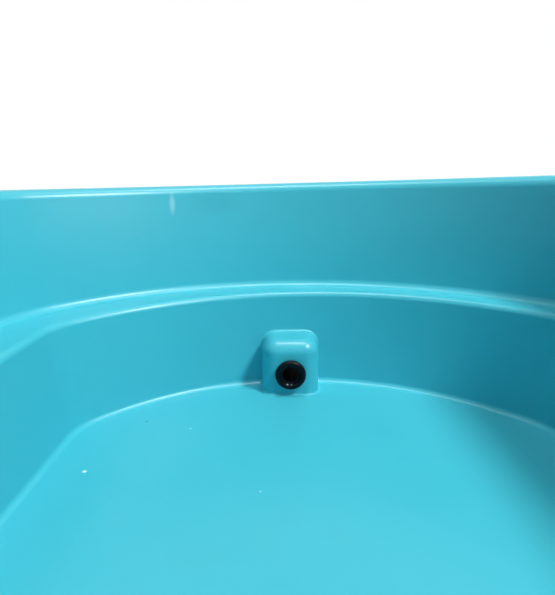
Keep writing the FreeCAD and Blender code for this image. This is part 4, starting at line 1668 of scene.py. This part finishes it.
# -------------------------------------------------------------------------------------------- legs
@dataclass
class Legs:
    """Four steel legs that pull down out of their sockets, each with a rubber foot."""

    tube_radius: float = 16.0
    tube_wall: float = 1.5
    foot_radius: float = 20.5
    foot_base: float = 8.0
    foot_height: float = 38.0
    grip_rings: int = 3
    ring_pitch: float = 5.0
    sole_groove: float = 1.2
    names: Sequence[str] = ("front_drain", "rear_drain", "front_head", "rear_head")

    def places(self) -> list[Vector]:
        """The foot of each leg's axis."""
        centres = [middle(f"leg_tube_{name}") for name in self.names]
        return [Vector((at.x, at.y, 0.0)) for at in centres]

    def build(self, coat: Material, rubber: Material) -> None:
        """Model one tube and one foot, and put a copy at every corner.

        Args:
            coat: The tubes' finish.
            rubber: The feet's finish.
        """
        tube, foot = self.tube(), self.foot()
        for name, place in zip(self.names, self.places()):
            move = Matrix.Translation(place)
            dress(copied(tube, f"tube_{name}", move), f"leg_{name}", coat, [f"leg_tube_{name}"])
            dress(copied(foot, f"foot_{name}", move), f"leg_{name}", rubber, [f"leg_foot_{name}"])
        for thing in (tube, foot):
            bpy.data.meshes.remove(thing.data)

    def tube(self) -> Thing:
        """A tube with deburred ends.

        Returns:
            The mesh object.
        """
        top = span("leg_tube_front_drain")[1].z
        inner = self.tube_radius - self.tube_wall
        tube = Bench.lathe("leg_tube", UPRIGHT, [
            (self.foot_base, inner, 0.4), (self.foot_base, self.tube_radius, 0.5),
            (top, self.tube_radius, 0.5), (top, inner, 0.4)], 64, 3)
        return smooth(tube)

    def foot(self) -> Thing:
        """A rubber cup with a flared, grooved sole, three grip rings and a rolled top.

        Returns:
            The mesh object.
        """
        outer, waist, ring = self.foot_radius, self.foot_radius - 1.3, self.foot_radius - 0.3
        bore, groove = self.tube_radius + RUN_FIT, self.sole_groove
        profile = [(0.0, 0.0), (0.0, 6.0, 0.0), (groove, 7.0, 0.3), (groove, 9.0, 0.3), (0.0, 10.0, 0.3),
                   (0.0, 13.0, 0.3), (groove, 14.0, 0.3), (groove, 16.0, 0.3), (0.0, 17.0, 0.3),
                   (0.0, outer, 1.6), (self.foot_base + 3.0, outer, 1.5), (self.foot_base + 5.0, waist, 1.0)]
        for i in range(self.grip_rings):
            along = self.foot_base + 8.0 + i * self.ring_pitch
            profile += [(along, waist, 0.5), (along + 0.7, ring, 0.5),
                        (along + 1.9, ring, 0.5), (along + 2.6, waist, 0.5)]
        profile += [(self.foot_height - 5.0, waist, 1.0), (self.foot_height - 3.6, outer, 1.2),
                    (self.foot_height, outer, 1.4), (self.foot_height, bore, 0.8),
                    (self.foot_base, bore, 0.8), (self.foot_base, 0.0)]
        foot = Bench.lathe("leg_foot", UPRIGHT, profile, 64, 3)
        return smooth(foot, 45.0)


# ------------------------------------------------------------------------------------------ studio
@dataclass(frozen=True)
class Lamp:
    """A large soft lamp.

    Attributes:
        name: Its name.
        offset: Where it hangs from the place that it points at, in millimetres.
        size: Its width and height.
        watts: Its power.
    """

    name: str
    offset: Vector
    size: tuple[float, float]
    watts: float

    def hang(self, target: Vector) -> None:
        """Hang the lamp and turn it to a place.

        Args:
            target: The place, in millimetres.
        """
        Bench.tidy()
        bpy.ops.object.light_add(type="AREA", location=(target + self.offset) * MM)
        lamp = bpy.context.object
        lamp.name = self.name
        lamp.data.shape = "RECTANGLE"
        lamp.data.size, lamp.data.size_y = self.size[0] * MM, self.size[1] * MM
        lamp.data.energy = self.watts
        lamp.visible_camera = False
        lamp.rotation_euler = (-self.offset).to_track_quat("-Z", "Y").to_euler()


LAMPS = (Lamp("key", Vector((-300.0, -560.0, 866.0)) * 2.3, (450.0, 450.0), 56.0),
         Lamp("top", Vector((50.0, -50.0, 997.0)) * 2.4, (500.0, 500.0), 19.0),
         Lamp("side", Vector((-600.0, -760.0, 300.0)) * 2.6, (1000.0, 320.0), 5.0),
         Lamp("low_drain_end", Vector((2400.0, 500.0, -120.0)), (900.0, 600.0), 22.0),
         Lamp("low_rear", Vector((-700.0, 2400.0, -120.0)), (900.0, 600.0), 22.0))


@dataclass
class Studio:
    """A pale floor, soft lamps, a white surround and the camera."""

    floor_half: float = 4000.0
    floor_drop: float = 0.5
    floor_colour: str = "#f4f4f3"
    lit: Vector = field(default_factory=lambda: Vector((200.0, 0.0, 620.0)))
    eye: Vector = field(default_factory=lambda: Vector((-108.8, 14.1, 816.0)))
    yaw: float = -3.21
    pitch: float = 17.27
    roll: float = -1.55
    focal_share: float = 0.7460
    sensor: float = 36.0
    shift: tuple[float, float] = (0.0369, 0.0463)
    floor_glow: float = 0.72
    world_light: float = 0.08

    def build(self) -> None:
        """Set the floor, world, lamps, camera and view."""
        self.set_floor()
        self.set_world()
        for lamp in LAMPS:
            lamp.hang(self.lit)
        self.set_camera()
        bpy.context.scene.view_settings.view_transform = "Standard"

    @staticmethod
    def seen_by(tree: Tree, *kinds: str) -> Socket:
        """1 to rays of the named kinds and 0 to the rest.

        Args:
            tree: The node tree.
            kinds: The kinds, as the light path names them.

        Returns:
            The socket.
        """
        rays = add(tree, "ShaderNodeLightPath").outputs
        seen = rays[kinds[0]]
        for kind in kinds[1:]:
            seen = add(tree, "ShaderNodeMath", {0: seen, 1: rays[kind]}, operation="MAXIMUM").outputs[0]
        return seen

    def set_floor(self) -> None:
        """A wide, matt, pale floor that isn't part of the object."""
        Bench.tidy()
        bpy.ops.mesh.primitive_plane_add(size=2.0 * self.floor_half * MM,
                                         location=(0.0, 0.0, -self.floor_drop * MM))
        floor = bpy.context.object
        floor.name = "floor"
        paint = bpy.data.materials.new("matt_white_floor")
        paint.use_nodes = True
        tree = paint.node_tree
        tree.nodes.clear()
        colour = linear(self.floor_colour)
        matt = add(tree, "ShaderNodeBsdfPrincipled", {"Base Color": colour, "Roughness": 0.8})
        pale = add(tree, "ShaderNodeEmission", {"Color": colour, "Strength": 1.0})
        share = add(tree, "ShaderNodeMath", {0: self.seen_by(tree, "Is Camera Ray", "Is Glossy Ray"),
                                             1: self.floor_glow}, operation="MULTIPLY")
        mixed = add(tree, "ShaderNodeMixShader", {
            0: share.outputs[0], 1: matt.outputs["BSDF"], 2: pale.outputs["Emission"]})
        add(tree, "ShaderNodeOutputMaterial", {"Surface": mixed.outputs["Shader"]})
        floor.data.materials.append(paint)

    def set_world(self) -> None:
        """White to the camera and in reflections, and a plain level of light to all else."""
        world = bpy.data.worlds.new("surround")
        bpy.context.scene.world = world
        world.use_nodes = True
        tree = world.node_tree
        tree.nodes.clear()
        seen = self.seen_by(tree, "Is Camera Ray", "Is Glossy Ray", "Is Transmission Ray")
        level = add(tree, "ShaderNodeMapRange", {"Value": seen, "To Min": self.world_light, "To Max": 1.0})
        sky = add(tree, "ShaderNodeBackground", {
            "Color": linear("#ffffff"), "Strength": level.outputs["Result"]})
        add(tree, "ShaderNodeOutputWorld", {"Surface": sky.outputs["Background"]})

    def set_camera(self) -> None:
        """Stand the camera just over the head end and look down at the drain."""
        yaw, pitch, roll = (math.radians(angle) for angle in (self.yaw, self.pitch, self.roll))
        ahead = Vector((math.cos(yaw) * math.cos(pitch), -math.sin(yaw) * math.cos(pitch), -math.sin(pitch)))
        level = Vector((-math.sin(yaw), -math.cos(yaw), 0.0))
        upward = level.cross(ahead)
        right = level * math.cos(roll) + upward * math.sin(roll)
        above = upward * math.cos(roll) - level * math.sin(roll)
        Bench.tidy()
        bpy.ops.object.camera_add()
        camera = bpy.context.object
        camera.matrix_world = Matrix.Translation(self.eye * MM) @ Matrix(
            (right, above, -ahead)).transposed().to_4x4()
        camera.data.sensor_width = self.sensor
        camera.data.lens = self.focal_share * self.sensor
        camera.data.shift_x, camera.data.shift_y = self.shift
        camera.data.clip_start = 0.01
        bpy.context.scene.camera = camera


def main() -> None:
    """Build each sub-assembly in turn and light it."""
    logging.basicConfig(level=logging.INFO, format="%(message)s")
    bpy.context.view_layer.update()
    Bench.tidy()
    legs = Legs()
    eyes = TetherEyes(math.degrees(math.atan2(Tub.upper_lean, Tub.depth - Tub.ledge_height)))
    Tub(leg_places=legs.places(), screw_axles=eyes.screw_axles()).build(TUB_PLASTIC.material())
    DrainFitting().build(BLACK_NYLON.material(), BORE_SHADE.material(), RUBBER.material())
    PlugValve().build(BLACK_NYLON.material(), BORE_SHADE.material(), RED_NYLON.material(), RUBBER.material(),
                      STAINLESS.material())
    eyes.build(STAINLESS.material())
    legs.build(POWDER_COAT.material(), RUBBER.material())
    Studio().build()
    Bench.tidy()
    bpy.context.view_layer.update()


if __name__ == "__main__":
    main()
